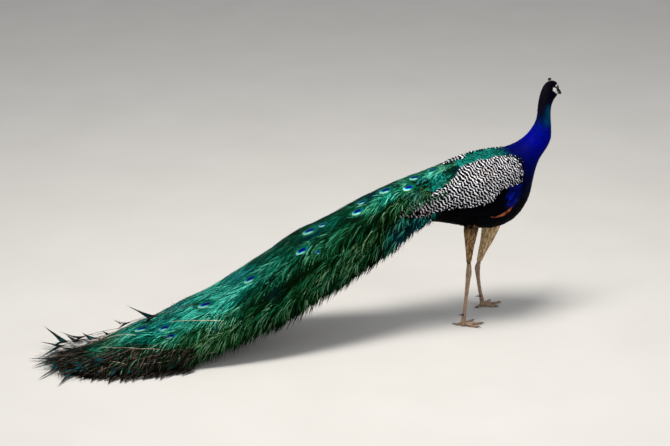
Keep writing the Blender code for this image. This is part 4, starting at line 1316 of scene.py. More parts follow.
def filler_locks():
    """Short locks that fill the train's depth under the plumes, dark with painted shade."""
    count = FILLER_LOCKS
    at, v = chance.uniform(0.1, TRAIN_LAST - 0.2, count), chance.uniform(-1, 1, count)
    flank = ease(FLANK_LOW, FLANK_HIGH, np.abs(v))
    clump = ripple(at * 3, v * 14, 1.0, 31)
    way = np.where(chance.random(count) < 0.5 * (1 - flank), -1.0, 1.0) * side_of(v)
    start = np.radians(chance.uniform(4, 30, count) + 24 * flank)
    x = rows_at(TRAIN_ROWS, at)[:, 0]
    length = np.interp(-x, (0.06, 0.30, 0.6, 1.1, 1.4), (0.022, 0.045, 0.060, 0.062, 0.050))
    locks = {
        "at": at,
        "v": v,
        "way": way,
        "length": length * chance.uniform(0.7, 1.2, count),
        "width": np.interp(-x, (0.06, 0.3), (0.0020, 0.0027)) * chance.uniform(0.7, 1.3, count),
        "start_turn": start,
        "end_turn": start * 0.5 + np.radians(flank * (44 + 16 * clump)),
        "depth": TRAIN_DEPTH * chance.uniform(0.6, 1.0, count),
        "lift": np.full(count, 0.0006),
    }
    # near-black tints: painted shade in the train's depth; a little lighter on the top than on the hanging
    # flanks
    tint = np.clip(0.04 + 0.06 * clump + chance.normal(0, 0.04, count), 0, 0.3)
    tint = tint + 0.12 * (1 - flank)
    return locks, tint, np.clip(0.3 * flank + 0.1, 0, 1)


def plume_shafts():
    """Where each plume of the train ends, how long its shaft shows, and its own tone."""
    spots = [(float(train_station(x)), v, size) for x, v, size in OCELLI]
    ends = np.array([spot[0] + 0.12 for spot in spots])
    across = np.array([spot[1] for spot in spots])
    more = LOOSE_FEATHERS
    loose_at = 1.0 + (TRAIN_LAST - 0.6) * chance.random(more) ** 0.85
    loose_v = ((np.arange(more) * 0.6180339) % 1.0) * 2 - 1
    loose_v = np.sign(loose_v) * np.abs(loose_v) ** 0.80
    ends, across = np.concatenate([ends, loose_at]), np.concatenate([across, loose_v])
    reach = np.interp(ends, (0.5, 3, 7, 15), (0.060, 0.13, 0.27, 0.30)) * chance.uniform(0.8, 1.2, len(ends))
    return ends, across, reach, chance.normal(0, 1, (3, len(ends)))


def plume_barbs():
    """The loose barbs of every plume, leaving both sides of its hidden shaft."""
    ends, across, reach, tones = plume_shafts()
    plume = np.repeat(np.arange(len(ends)), (reach * BARBS_PER_METRE).astype(int))
    count = len(plume)
    share = chance.random(count) ** 0.85
    fine = np.linspace(0, TRAIN_LAST, 300)
    ridge = train_at(fine, np.zeros(300))
    passed = np.concatenate([[0], np.cumsum(np.linalg.norm(np.diff(ridge, axis=0), axis=1))])
    end_passed = np.interp(ends, fine, passed)
    at = np.interp(end_passed[plume] - (1 - share) * reach[plume], passed, fine)
    v = across[plume] * (1 - 0.10 * (1 - share)) + 0.012 * tones[0, plume] * np.sin(share * 5 + plume)
    v = np.clip(v, -1.02, 1.02)
    flank = ease(FLANK_LOW, FLANK_HIGH, np.abs(v))
    way = np.where(chance.random(count) < 0.5, 1.0, -1.0)
    lower = way == side_of(v)
    clump = ripple(share * 9 + plume * 1.7, way, 1.0, 41)
    close = ease(1.0, 0.75, share) * 0.75 + 0.25  # barbs near the plume's end lie closer to its shaft
    hang = flank * np.interp(at, (0, 6, 9, 12, TRAIN_LAST), (1.22, 1.16, 0.95, 0.70, 0.45))
    start = np.where(lower, 22 + 12 * hang, 22 + 2 * hang) * close + chance.normal(0, 12, count)
    end = np.where(lower, 14 + (80 + 16 * clump) * hang, 10 - (80 + 12 * clump) * hang)
    end = end + 7 * tones[1, plume] + chance.normal(0, 20, count)
    x = rows_at(TRAIN_ROWS, at)[:, 0]
    length = np.interp(-x, (0.06, 0.15, 0.30, 0.6, 1.1, 1.4), (0.022, 0.032, 0.052, 0.074, 0.078, 0.060))
    length = length * (1.12 - 0.50 * share**3) * chance.uniform(0.7, 1.25, count)
    # bright barbs get a lighter tint as painted highlights, and more lift and other widths
    bright = chance.random(count) < 0.14 + 0.04 * flank
    pale = chance.random(count) < (0.04 + 0.10 * flank) * ease(-0.6, 0.5, ripple(at * 3.1, v * 11, 1.0, 47))
    locks = {
        "at": at,
        "v": v,
        "way": way,
        "length": length,
        "width": np.where(pale, 0.0012, np.where(bright, 0.0020, 0.0017)) * chance.uniform(0.7, 1.3, count),
        "start_turn": np.radians(start),
        "end_turn": np.radians(end),
        "depth": np.maximum(0.0105 - 0.0120 * share + 0.0012 * tones[2, plume], -0.003),
        "lift": 0.0008 + 0.0030 * chance.random(count) ** 2 + 0.0014 * bright + 0.0010 * clump,
    }
    streak = ripple(at * 1.1, v * 34, 1.0, 43)
    lobe = ease(-0.5, 0.6, ripple(at * 1.5, v * 6, 1.0, 45))
    lobe = np.maximum(lobe, 0.80 * ease(-0.34, -0.14, v) * ease(0.95, 0.75, v))
    crown = (plume < len(OCELLI)) * ease(0.55, 0.95, share)
    tint = 0.05 + 0.11 * share + 0.07 * tones[1, plume] + 0.09 * clump + 0.26 * crown + 0.06 * flank
    tint = tint * (1 - 0.30 * flank) + (0.14 + 0.26 * flank) * bright + (0.30 + 0.16 * flank) * pale
    ridge = 0.04 + 0.15 * ease(-0.60, -0.40, x) + 0.40 * ease(-0.56, -0.88, x) * lobe + 0.18 * streak
    ridge = ridge + 0.10 * ease(-0.34, -0.20, x) + 0.16 * ease(-0.20, -0.13, x)
    tint = tint + ridge * (1 - flank) + 0.14 * flank * ease(-0.22, -0.14, x)
    tint = tint * np.clip(1 + chance.normal(0, 0.52, count), 0.12, 2.4)
    hue = 0.08 + flank * (0.40 + 0.24 * tones[2, plume]) + 0.40 * pale * flank
    return locks, np.clip(tint, 0.02, 1), np.clip(hue, 0, 1)


def dress_train(barbs):
    """The loose barbs of the train, in pieces by their place along it."""
    under, under_tint, under_hue = filler_locks()
    over, over_tint, over_hue = plume_barbs()
    locks = {key: np.concatenate([under[key], over[key]]) for key in under}
    tint, hue = np.concatenate([under_tint, over_tint]), np.concatenate([under_hue, over_hue])
    marks, x = shared_marks(locks["at"], locks["v"], tint, hue)
    thin = chance.random(len(x)) < np.where(marks["dusk"] > 0.5, 0.60, 1.0)
    places, rows = lay_locks(locks)
    kept = np.flatnonzero(thin & clear_of_spots(places, 0.86))
    order = kept[np.argsort(locks["at"][kept])]
    for number, part in enumerate(np.array_split(order, LOCK_PIECES), 1):
        own_rows = [(ahead[part], normal[part]) for ahead, normal in rows]
        made = ribbons([place[part] for place in places], own_rows, locks["width"][part])
        own = {key: values[part] for key, values in marks.items()}
        add_strands(f"train_barbs_{number}", made, own, locks["at"][part], locks["v"][part], barbs, root=0.0)


FRINGE_STRANDS = 6400


def edge_fringe(barbs):
    """Thin strands that hang free from the train's lower edges, in loose bunches."""
    count = FRINGE_STRANDS
    side = np.where(chance.random(count) < 0.5, -1.0, 1.0)
    at = chance.uniform(1.6, 15.6, count)
    floor = ease(10.0, 11.5, at)
    bunch = ripple(at * 9, side * 3, 1.0, 51)
    long = chance.random(count) ** 5
    length = (0.010 + 0.014 * chance.random(count) + 0.060 * long) * (1 + 0.35 * bunch)
    length = length * np.interp(at, (1.6, 3, 8, 10, 13), (0.8, 1.0, 1.0, 0.7, 0.6))
    start = train_at(at, side * chance.uniform(0.95, 1.0, count))
    start -= train_frame(at, side * 0.95)[2] * chance.uniform(0.0, 0.010, count)[:, None]
    lean = chance.normal(0.55, 0.22, count)
    lean = lean * (1 + 1.2 * floor)
    aside = chance.normal(0.05, 0.10, count) + floor * chance.uniform(0.1, 1.1, count)
    drop = np.stack((-lean, side * aside, -1.0 + 0.8 * floor), 1)
    drop = unit(drop) * length[:, None]
    swing = np.stack((-0.45 * length, np.zeros(count), 0.10 * length), 1)
    swing = swing * chance.uniform(0.3, 1.2, (count, 1))
    places = [start + drop * t + swing * t * t for t in STEPS]
    outward = np.stack((np.zeros(count), side, np.full(count, 0.25)), 1)
    rows = [(unit(drop + 2 * swing * t), unit(outward)) for t in STEPS]
    strands = ribbons(places, rows, 0.0011 * chance.uniform(0.6, 1.3, count))
    tint = np.clip(0.26 + 0.2 * bunch + chance.normal(0, 0.18, count), 0, 1)
    marks, _ = shared_marks(at, side * 0.97, tint, np.clip(0.35 + 0.5 * long, 0, 1))
    add_strands("train_fringe", strands, marks, at, side * 0.98, barbs)


END_STRANDS = 9500


def end_tangle(barbs):
    """Black-brown strands in disorder over the last of the train and past its end, along the floor."""
    count = END_STRANDS
    at = chance.uniform(11.2, TRAIN_LAST, count)
    side = np.where(chance.random(count) < 0.5, -1.0, 1.0)
    v = side * chance.random(count) ** 0.6
    starts = train_at(at, v)
    dark = starts[:, 0] < dark_line(v) + 0.02 * ripple(at * 3, v * 9, 1.0, 61)
    kept = dark | (chance.random(count) < 0.04)
    at, v, starts = at[kept], v[kept], starts[kept]
    count = len(at)
    tailward, leftward, normal = train_frame(at, v)
    outward = unit(leftward) * np.sign(v)[:, None]
    turn = np.radians(chance.normal(8, 24, count) + 26 * np.abs(v) ** 2)[:, None]
    way = unit(tailward) * np.cos(turn) + outward * np.sin(turn)
    way[:, 2] *= 0.6
    length = (0.022 + 0.050 * chance.random(count) ** 1.6)[:, None]
    rise = (0.001 + 0.009 * chance.random(count) ** 3)[:, None]
    bend = outward * chance.normal(0.10, 0.30, (count, 1)) * length
    places = []
    for t in STEPS:
        places.append(starts + way * length * t + bend * t * t + normal * rise * math.sin(math.pi * t))
        places[-1][:, 2] -= 0.012 * t * t
    rows = [(unit(way * length + 2 * bend * t), normal) for t in STEPS]
    strands = ribbons(places, rows, 0.0015 * chance.uniform(0.5, 1.5, count))
    tint = strand_tints(count, 0.17, 0.6, 1.0, 0.4)
    marks, _ = shared_marks(at, v, tint, np.full(count, 0.3))
    marks["tint"] = tint
    marks["dusk"] = np.where(chance.random(count) < 0.12, 0.0, 1.0)
    add_strands("end_tangle", strands, marks, at, v, barbs)


FLOOR_STRANDS = 2300
FLOOR_MIDDLE, FLOOR_HALF = (-1.385, 0.020), (0.085, 0.100)  # (x, y) of the heap and its half sizes
FLOOR_WIDE = 0.16  # the train's half width there


def brown_marks(tint, dusk):
    """Marks of strands that lie off the train: brown where dusk is 1 and teal where it is 0."""
    count = len(tint)
    return {"tint": tint, "hue": np.full(count, 0.3), "teal": 1 - dusk, "blue": np.zeros(count), "dusk": dusk}


def floor_tangle(barbs):
    """A low heap of dark strands on the floor round the end of the train, among the forked plumes."""
    count = FLOOR_STRANDS
    turn, out = chance.uniform(0, 2 * math.pi, count), chance.random(count) ** 0.6
    x = FLOOR_MIDDLE[0] + FLOOR_HALF[0] * out * np.cos(turn)
    y = FLOOR_MIDDLE[1] + FLOOR_HALF[1] * out * np.sin(turn)
    height = 0.004 + 0.030 * (1 - out) * chance.random(count)
    lean = np.pi + chance.normal(0, 0.55, count) - 2.2 * (y - FLOOR_MIDDLE[1])
    length = 0.016 + 0.090 * chance.random(count) ** 2.5
    bend = chance.normal(0, 0.35, count)
    places, rows = [], []
    for t in STEPS:
        way = lean + bend * t
        flat = np.stack((np.cos(way), np.sin(way)), 1) * (length * t)[:, None]
        rise = height * (1 - 0.5 * t) + 0.012 * math.sin(math.pi * t) * chance.random(count)
        places.append(np.stack((x + flat[:, 0], y + flat[:, 1], rise), 1))
        rows.append(level_ways(way))
    strands = ribbons(places, rows, 0.0015 * chance.uniform(0.5, 1.5, count))
    tint = strand_tints(count, 0.14, 0.5, 1.0, 0.35)
    dusk = np.where(chance.random(count) < 0.10, 0.0, 1.0)
    marks = brown_marks(tint, dusk)
    add_strands("floor_tangle", strands, marks, train_station(x), y / FLOOR_WIDE, barbs)


NEAR_PRONGS = 30  # short pointed bunches along the train's lower edge
PRONG_STRANDS = 22


def near_prongs(barbs):
    """Short brown points that leave the train's right edge along the floor, towards its rear and outwards."""
    prong = np.repeat(np.arange(NEAR_PRONGS), PRONG_STRANDS)
    count = len(prong)
    foot_x = np.linspace(-1.385, -1.050, NEAR_PRONGS) + chance.uniform(-0.008, 0.008, NEAR_PRONGS)
    foot_y = np.interp(foot_x, (-1.40, -1.33, -1.22, -1.0), (-0.104, -0.142, -0.166, -0.170))
    way = np.pi + chance.uniform(0.35, 1.05, NEAR_PRONGS)
    long = chance.uniform(0.026, 0.062, NEAR_PRONGS)
    tip_x = foot_x + np.cos(way) * long
    tip_y = np.maximum(foot_y + np.sin(way) * long, -0.238)
    aside = chance.normal(0, 0.0060, (2, count))
    own_end = chance.uniform(0.55, 1.0, count) ** 0.7
    sag = chance.uniform(0.004, 0.010, count)
    places = []
    for t in STEPS:
        near = (1 - t) * aside
        x = foot_x[prong] + (tip_x - foot_x)[prong] * t * own_end + near[0]
        y = foot_y[prong] + (tip_y - foot_y)[prong] * t * own_end + near[1]
        places.append(np.stack((x, y, 0.003 + sag * (1 - t) + 0.006 * math.sin(math.pi * t)), 1))
    rows = [level_ways(way[prong])] * len(STEPS)
    strands = ribbons(places, rows, 0.0017 * chance.uniform(0.6, 1.3, count))
    marks = brown_marks(strand_tints(count, 0.12, 0.5, 0.9, 0.3), np.ones(count))
    at, v = train_station(foot_x[prong]), np.full(count, -0.97)
    add_strands("near_prongs", strands, marks, at, v, barbs)


# The line (x, z) where the train's barbs hang over the barred wing, from its top
OVERLAP_LINE = (
    (-0.060, 0.6000),
    (-0.092, 0.5800),
    (-0.112, 0.5560),
    (-0.124, 0.5300),
    (-0.158, 0.5060),
    (-0.205, 0.4880),
    (-0.255, 0.4700),
    (-0.290, 0.4560),
)
OVERLAP_BARBS = 1300  # each side
OVERLAP_GAP = 0.0058  # how far they lie off the solids, over the barred blades


def surface_places(tree, flat, side, gap):
    """The outermost places of a side at each (x, z), lifted by a gap."""
    found = []
    for x, z in flat:
        hit = tree.ray_cast(Vector((x, side * 0.30, z)), Vector((0, -side, 0)))[0]
        found.append((x, hit[1] + side * gap if hit else np.nan, z))
    return np.array(found)


def overlap_barbs(barbs):
    """Green barbs that hang from the train over the upper hind edge of each barred patch."""
    train = [f"train_{part}_{hand}" for hand, _ in HANDS for part in ("upper", "middle")]
    surface = tree_of(*solid(*WING_NODES, *train))
    for hand, side in HANDS:
        count = OVERLAP_BARBS
        share = chance.random(count) * (len(OVERLAP_LINE) - 1)
        start = rows_at(OVERLAP_LINE, share) + chance.normal(0, 1, (count, 2)) * 0.004
        back = chance.random((count, 1))
        start = start + np.array((-0.014, 0.032)) * back
        length = chance.uniform(0.010, 0.024, count)[:, None]
        lean = np.radians(np.interp(share, (0, 3, 7), (28, 62, 36)) + chance.normal(0, 8, count))
        way = np.stack((-np.cos(lean), -np.sin(lean)), 1)
        droop = np.array((-0.05, -0.30))
        places = []
        for t in STEPS:
            flat = start + way * length * t + droop * length * t * t
            places.append(surface_places(surface, flat, side, OVERLAP_GAP + 0.0020 * t * (1 - t)))
        met = ~np.isnan(np.stack(places)).any((0, 2)) & (np.ptp(np.stack(places)[:, :, 1], axis=0) < 0.03)
        places, share, count = [place[met] for place in places], share[met], int(met.sum())
        rows = own_ways(places, (0.0, side, 0.25))
        bright = chance.random(count) < 0.34
        width = 0.0016 * chance.uniform(0.7, 1.3, count)
        strands = ribbons(places, rows, width)
        tint = np.clip(0.20 + 0.45 * bright + chance.normal(0, 0.12, count), 0, 1)
        at, v = np.interp(share, (0, 7), (0.2, 3.2)), np.full(count, 0.6 * side)
        marks, _ = shared_marks(at, v, tint, 0.25 + 0.35 * bright)
        at = at + 0.6 * chance.random(count)
        add_strands(f"overlap_barbs_{hand}", strands, marks, at, v, barbs, root=0.3)


def spot_barbs(barbs):
    """Short barbs that leave the rim of each eye spot and soften it."""
    places, rows, tints, patch_at, patch_v = [[] for _ in range(4)], [[] for _ in range(4)], [], [], []
    for x, v, size in OCELLI:
        at, _, tailward, leftward, normal, opening = spot_frame(x, v)
        turn = chance.uniform(0, 2 * math.pi, SPOT_BARBS)
        for section in range(4):
            t = section / 3
            reach = 0.80 + 0.46 * t
            bend = turn - np.sin(turn) * 0.25 * t
            long = OCELLUS_LONG * size * reach * np.cos(bend) + 0.004 * t
            wide = opening * size * reach * np.sin(bend)
            long, wide = spot_turned(long, wide, v)
            here_at = at + long / np.linalg.norm(tailward)
            here_v = v + wide / np.linalg.norm(leftward)
            lift = 0.0010 + 0.0016 * math.sin(math.pi * t)
            places[section].append(train_at(here_at, here_v) + normal * lift)
            ahead = unit(tailward) * np.cos(bend)[:, None] + unit(leftward) * np.sin(bend)[:, None]
            rows[section].append((ahead, np.tile(normal, (SPOT_BARBS, 1))))
        tints.append(chance.uniform(0.20, 0.60, SPOT_BARBS))
        patch_at.append(np.full(SPOT_BARBS, at) + chance.uniform(-0.2, 0.2, SPOT_BARBS))
        patch_v.append(np.full(SPOT_BARBS, v) + chance.uniform(-0.08, 0.08, SPOT_BARBS))
    places = [np.concatenate(part) for part in places]
    rows = [tuple(np.concatenate(pair) for pair in zip(*part)) for part in rows]
    tint, at, v = np.concatenate(tints), np.concatenate(patch_at), np.concatenate(patch_v)
    strands = ribbons(places, rows, np.full(len(tint), 0.0019))
    marks, _ = shared_marks(at, v, tint, np.full(len(tint), 0.25))
    add_strands("spot_barbs", strands, marks, at, v, barbs)


# ---------------------------------------------------------------- tubes, shafts and forked plumes


def tubes(lines, radii, around=5):
    """Thin closed tubes along lines, all with the same number of points."""
    parts = []
    for line, radius in zip(lines, radii):
        ahead = unit(np.gradient(line, axis=0))
        side = unit(np.cross(ahead, (0.02, 0.01, 1.0)))
        up = np.cross(side, ahead)
        turn = circle(around)
        ring = side[:, None] * np.cos(turn)[None, :, None] + up[:, None] * np.sin(turn)[None, :, None]
        points = line[:, None] + ring * radius[:, None, None]
        marks = {"along": np.repeat(np.linspace(0, 1, len(line)), around)}
        parts.append((points.reshape(-1, 3), ring_faces(points.shape), marks))
    return joined(parts)


# Pale shafts seen between the barbs: places (x, v) that each runs through
BARE_SHAFTS = (
    ((-0.943, -0.60), (-1.013, -0.44), (-1.065, -0.25), (-1.113, -0.07)),
    ((-1.151, -0.64), (-1.220, -0.50), (-1.292, -0.16), (-1.328, 0.08)),
    ((-1.072, -0.97), (-1.166, -0.89), (-1.265, -0.77), (-1.344, -0.39)),
    ((-1.215, -0.12), (-1.270, 0.19), (-1.330, 0.46)),
    ((-1.180, 0.20), (-1.290, 0.44), (-1.380, 0.52)),
    ((-1.060, 0.76), (-1.200, 0.74), (-1.340, 0.52)),
    ((-1.140, 0.90), (-1.270, 0.86), (-1.370, 0.62)),
)


def train_shafts(finish):
    """Pale shafts that show between the barbs towards the end of the train."""
    lines, radii = [], []
    for spots in BARE_SHAFTS:
        x, across = np.array(spots).T
        share = np.linspace(0, 1, 30)
        x = np.interp(share, np.linspace(0, 1, len(x)), x)
        across = np.interp(share, np.linspace(0, 1, len(across)), across)
        across[1:-1] = (across[:-2] + across[1:-1] + across[2:]) / 3
        at = np.clip(train_station(x), 0.2, TRAIN_LAST)
        normal = train_frame(at, across)[2]
        place = train_at(at, across) + normal * (0.0072 * np.sin(share * math.pi) ** 0.4 - 0.001)[:, None]
        place[:, 2] = np.maximum(place[:, 2], 0.0025)
        lines.append(place)
        radii.append(np.linspace(0.00105, 0.00055, 30))
    points, faces, marks = tubes(lines, radii)
    add_piece("train_shafts", points, faces, finish, marks)


# Forked plumes round the end of the train: where the bare shaft starts, the fork, and its two points
FORKED_PLUMES = (
    ((-1.335, 0.070, 0.052), (-1.442, 0.122, 0.040), (-1.483, 0.206, 0.072), (-1.475, 0.128, 0.020)),
    ((-1.345, 0.090, 0.036), (-1.453, 0.136, 0.018), (-1.505, 0.180, 0.026), (-1.530, 0.070, 0.010)),
    ((-1.250, 0.050, 0.088), (-1.379, 0.111, 0.052), (-1.448, 0.113, 0.082), (-1.405, 0.112, 0.030)),
    ((-1.120, 0.010, 0.140), (-1.229, 0.078, 0.096), (-1.276, 0.062, 0.126), (-1.262, 0.082, 0.070)),
    ((-1.050, -0.010, 0.164), (-1.158, 0.022, 0.128), (-1.234, 0.056, 0.176), (-1.182, 0.006, 0.108)),
    ((-1.300, 0.020, 0.066), (-1.412, 0.063, 0.026), (-1.462, 0.096, 0.036), (-1.464, 0.036, 0.012)),
    ((-1.360, -0.010, 0.036), (-1.487, -0.013, 0.014), (-1.566, -0.092, 0.006), (-1.500, 0.040, 0.026)),
    ((-1.350, -0.050, 0.036), (-1.461, -0.078, 0.012), (-1.510, -0.160, 0.005), (-1.500, -0.040, 0.014)),
    ((-1.205, -0.140, 0.054), (-1.315, -0.132, 0.026), (-1.345, -0.177, 0.013), (-1.348, -0.120, 0.031)),
    ((-1.155, -0.152, 0.052), (-1.267, -0.144, 0.024), (-1.297, -0.182, 0.012), (-1.297, -0.139, 0.029)),
    ((-1.090, -0.158, 0.050), (-1.201, -0.155, 0.024), (-1.225, -0.183, 0.012), (-1.229, -0.153, 0.028)),
    ((-1.290, -0.064, 0.052), (-1.403, -0.078, 0.026), (-1.434, -0.109, 0.013), (-1.440, -0.062, 0.021)),
    ((-1.255, -0.120, 0.040), (-1.364, -0.117, 0.018), (-1.396, -0.152, 0.010), (-1.397, -0.106, 0.019)),
    ((-1.015, -0.165, 0.050), (-1.129, -0.163, 0.028), (-1.154, -0.185, 0.014), (-1.158, -0.160, 0.028)),
    ((-1.130, -0.154, 0.034), (-1.239, -0.150, 0.014), (-1.267, -0.180, 0.008), (-1.271, -0.148, 0.014)),
    ((-1.240, -0.085, 0.062), (-1.352, -0.092, 0.042), (-1.408, -0.112, 0.030), (-1.402, -0.056, 0.050)),
    ((-1.280, 0.110, 0.040), (-1.386, 0.150, 0.018), (-1.452, 0.176, 0.012), (-1.410, 0.206, 0.030)),
    ((-1.230, 0.130, 0.044), (-1.330, 0.166, 0.014), (-1.396, 0.190, 0.008), (-1.350, 0.218, 0.024)),
    ((-1.160, 0.140, 0.044), (-1.262, 0.176, 0.012), (-1.330, 0.192, 0.006), (-1.276, 0.224, 0.018)),
    ((-1.080, 0.146, 0.044), (-1.180, 0.184, 0.012), (-1.246, 0.196, 0.006), (-1.190, 0.226, 0.014)),
    ((-1.380, 0.020, 0.030), (-1.500, 0.050, 0.012), (-1.562, 0.086, 0.008), (-1.566, 0.014, 0.006)),
    ((-1.300, -0.052, 0.052), (-1.420, -0.070, 0.030), (-1.484, -0.060, 0.046), (-1.470, -0.112, 0.012)),
)
PRONG_BARBS = 44
PRONG_ROOTS = 0.030  # the barbs leave this length of shaft before the fork
PRONG_HALF = 0.0038  # half the width of a gathered point near the fork
PRONG_BOW = 0.18  # how far a point swings out before it comes in, of its length
FREE_BARBS = 44
FREE_ROOTS = 0.110  # the loose barbs leave this length of shaft before the fork
PRONG_TAPER = (0.5, 1.0, 1.0, 0.9, 0.7, 0.4, 0.0)


def curve(places, t):
    """The place at t on a smooth curve led by four places."""
    a, b, c, d = places
    return a * (1 - t) ** 3 + b * 3 * t * (1 - t) ** 2 + c * 3 * t**2 * (1 - t) + d * t**3


def forked_plume(root, fork, *tips):
    """Barbs that leave both sides of a shaft and gather into two long points, and loose ones behind."""
    root, fork = np.array(root), np.array(fork)
    ahead = unit(fork - root)
    up = unit(UP - ahead * ahead[2])
    across = np.cross(up, ahead)
    leads, widths = [], []
    for tip in tips:
        point = np.array(tip) - fork
        long = np.linalg.norm(point)
        side = 1.0 if point @ across > 0 else -1.0
        aside = unit(np.cross(up, point))
        share = np.linspace(0, 1, PRONG_BARBS)
        start = fork - ahead * (PRONG_ROOTS * (1 - share))[:, None]
        lane = (side * (share - 0.5) * 2 * PRONG_HALF)[:, None] * aside
        leave = start + (ahead * 0.012 + across * side * 0.010 * (0.4 + share)[:, None])
        near = fork + point * 0.28 - lane + across * side * long * PRONG_BOW
        reach = 0.42 + 0.58 * chance.permutation(share) ** 0.7
        end = fork + point * reach[:, None] - lane * (1 - reach)[:, None] * 0.8
        leads.append((start, leave, near, end))
        widths.append(np.full(PRONG_BARBS, 0.0019 * min(1.0, long / 0.06 + 0.3)))
    side = chance.choice((-1.0, 1.0), FREE_BARBS)
    start = fork - ahead * (FREE_ROOTS * chance.random(FREE_BARBS))[:, None]
    length = chance.uniform(0.018, 0.050, FREE_BARBS)
    way = unit(ahead * chance.uniform(0.7, 1.2, (FREE_BARBS, 1)) + across * (side * 0.7)[:, None])
    way = unit(way + chance.normal(0, 0.12, (FREE_BARBS, 3)))
    middle = start + way * (length * 0.5)[:, None]
    bend = (ahead * 0.6 - across * (side * 0.1)[:, None]) * (length * 0.4)[:, None]
    end = middle + way * (length * 0.35)[:, None] + bend + np.array((0.0, 0.0, -0.004))
    leads.append((start, start + way * (length * 0.2)[:, None], middle, end))
    widths.append(np.full(FREE_BARBS, 0.0010))
    led = [np.concatenate(part) for part in zip(*leads)]
    places = [curve(led, t) for t in np.linspace(0, 1, 7)]
    rows = own_ways(places, up)
    return ribbons(places, rows, np.concatenate(widths), PRONG_TAPER)


def forked_plumes(finish, shaft_finish):
    """All the forked plumes, and their shafts."""
    plumes, lines, radii = [], [], []
    for root, fork, *ends in FORKED_PLUMES:
        plumes.append(forked_plume(root, fork, *ends))
        line = np.array(root) + (np.array(fork) - np.array(root)) * np.linspace(-0.4, 1.0, 14)[:, None]
        line[:, 2] += 0.006 * np.sin(np.linspace(0, math.pi, 14))
        line[:, 2] = np.maximum(line[:, 2], 2 * FLOOR_CLEAR)
        lines.append(line)
        radii.append(np.linspace(0.0009, 0.0006, 14))
    nodes = [f"train_plume_{number:02d}" for number in range(1, 11)]
    points, faces, along = gathered(plumes)
    add_piece("forked_plumes", points, faces, finish, {"along": along}, replaces=nodes)
    points, faces, marks = tubes(lines, radii)
    add_piece("forked_shafts", points, faces, shaft_finish, marks)


# ---------------------------------------------------------------- face


def eye_frame(side):
    """An eye's middle, the way it looks, and the ways up and along its face."""
    out = unit(head_way(0.12, side, 0.0))
    up = unit(UP - out * out[2])
    return turned(EYE_AT[0], side * EYE_SIDE, EYE_AT[1]), out, up, np.cross(out, up)


def eyeball(hand, side, finish):
    """A ball with its iris and pupil as rings round the way it looks."""
    ring, turn = np.meshgrid(np.linspace(0, math.pi, 25), circle(32), indexing="ij")
    middle, out, up, along = eye_frame(side)
    bulge = 1 + 0.05 * ease(0.7, 0.0, ring)
    points = (
        out * (np.cos(ring) * bulge)[..., None]
        + up * (np.sin(ring) * np.sin(turn))[..., None]
        + along * (np.sin(ring) * np.cos(turn))[..., None]
    ) * EYE_RADIUS
    points = points + middle
    marks = {"ring": np.clip(ring / 0.95, 0, 1).ravel()}
    node, points = f"eye_{hand}", points.reshape(-1, 3)
    add_piece(f"eyeball_{hand}", points, ring_faces(ring.shape), finish, marks, replaces=[node])


# Rings of the lids: (size as a share of the open eye's, height over the face)
LID_ROWS = ((0.80, 0.0006), (0.92, 0.0013), (1.06, 0.0014), (1.22, 0.0006))
LID_ROWS += ((1.40, 0.0009), (1.62, 0.0002), (1.85, -0.0010))
LID_AROUND = 40
LID_LONG, LID_TALL = 0.0050, 0.0040  # half sizes of the open eye


def eye_lids(skin, hand, side, finish):
    """Two folds of bare skin round the open eye, merging into the face."""
    middle, out, up, along = eye_frame(side)
    along = along * -side
    turn = circle(LID_AROUND)
    rings = []
    for reach, height in LID_ROWS:
        ahead = LID_LONG * reach * np.cos(turn)
        high = LID_TALL * reach * np.sin(turn) * (1 - 0.12 * np.cos(turn))
        flat = middle + along * ahead[:, None] + up * high[:, None]
        ball = np.sqrt(np.maximum(EYE_RADIUS**2 - ahead**2 - high**2, 0.0))
        ring = []
        for place, on_ball in zip(flat, ball):
            hit = skin.tree.ray_cast(Vector(place + out * 0.03), Vector(-out))[0]
            surface = (np.array(hit) - middle) @ out if hit else on_ball
            outer = (reach - 0.9) / 0.5
            depth = surface * min(1.0, max(0.0, outer)) + on_ball * max(0.0, 1 - outer)
            ring.append(place + out * (max(depth, on_ball * 0.9) + height))
        rings.append(ring)
    points = np.array(rings).reshape(-1, 3)
    add_piece(f"eye_lids_{hand}", points, ring_faces((len(LID_ROWS), LID_AROUND)), finish)


BILL_PROFILE = (  # (x, culmen z, gape z, gonys z, half width) from root to tip
    (0.3120, 0.7932, 0.7822, 0.7765, 0.0066),
    (0.3170, 0.7925, 0.7808, 0.7738, 0.0062),
    (0.3215, 0.7903, 0.7786, 0.7716, 0.0055),
    (0.3262, 0.7868, 0.7758, 0.7700, 0.0046),
    (0.3305, 0.7822, 0.7726, 0.7693, 0.0034),
    (0.3340, 0.7765, 0.7700, 0.7690, 0.0019),
    (0.3360, 0.7702, 0.7694, 0.7690, 0.0006),
)


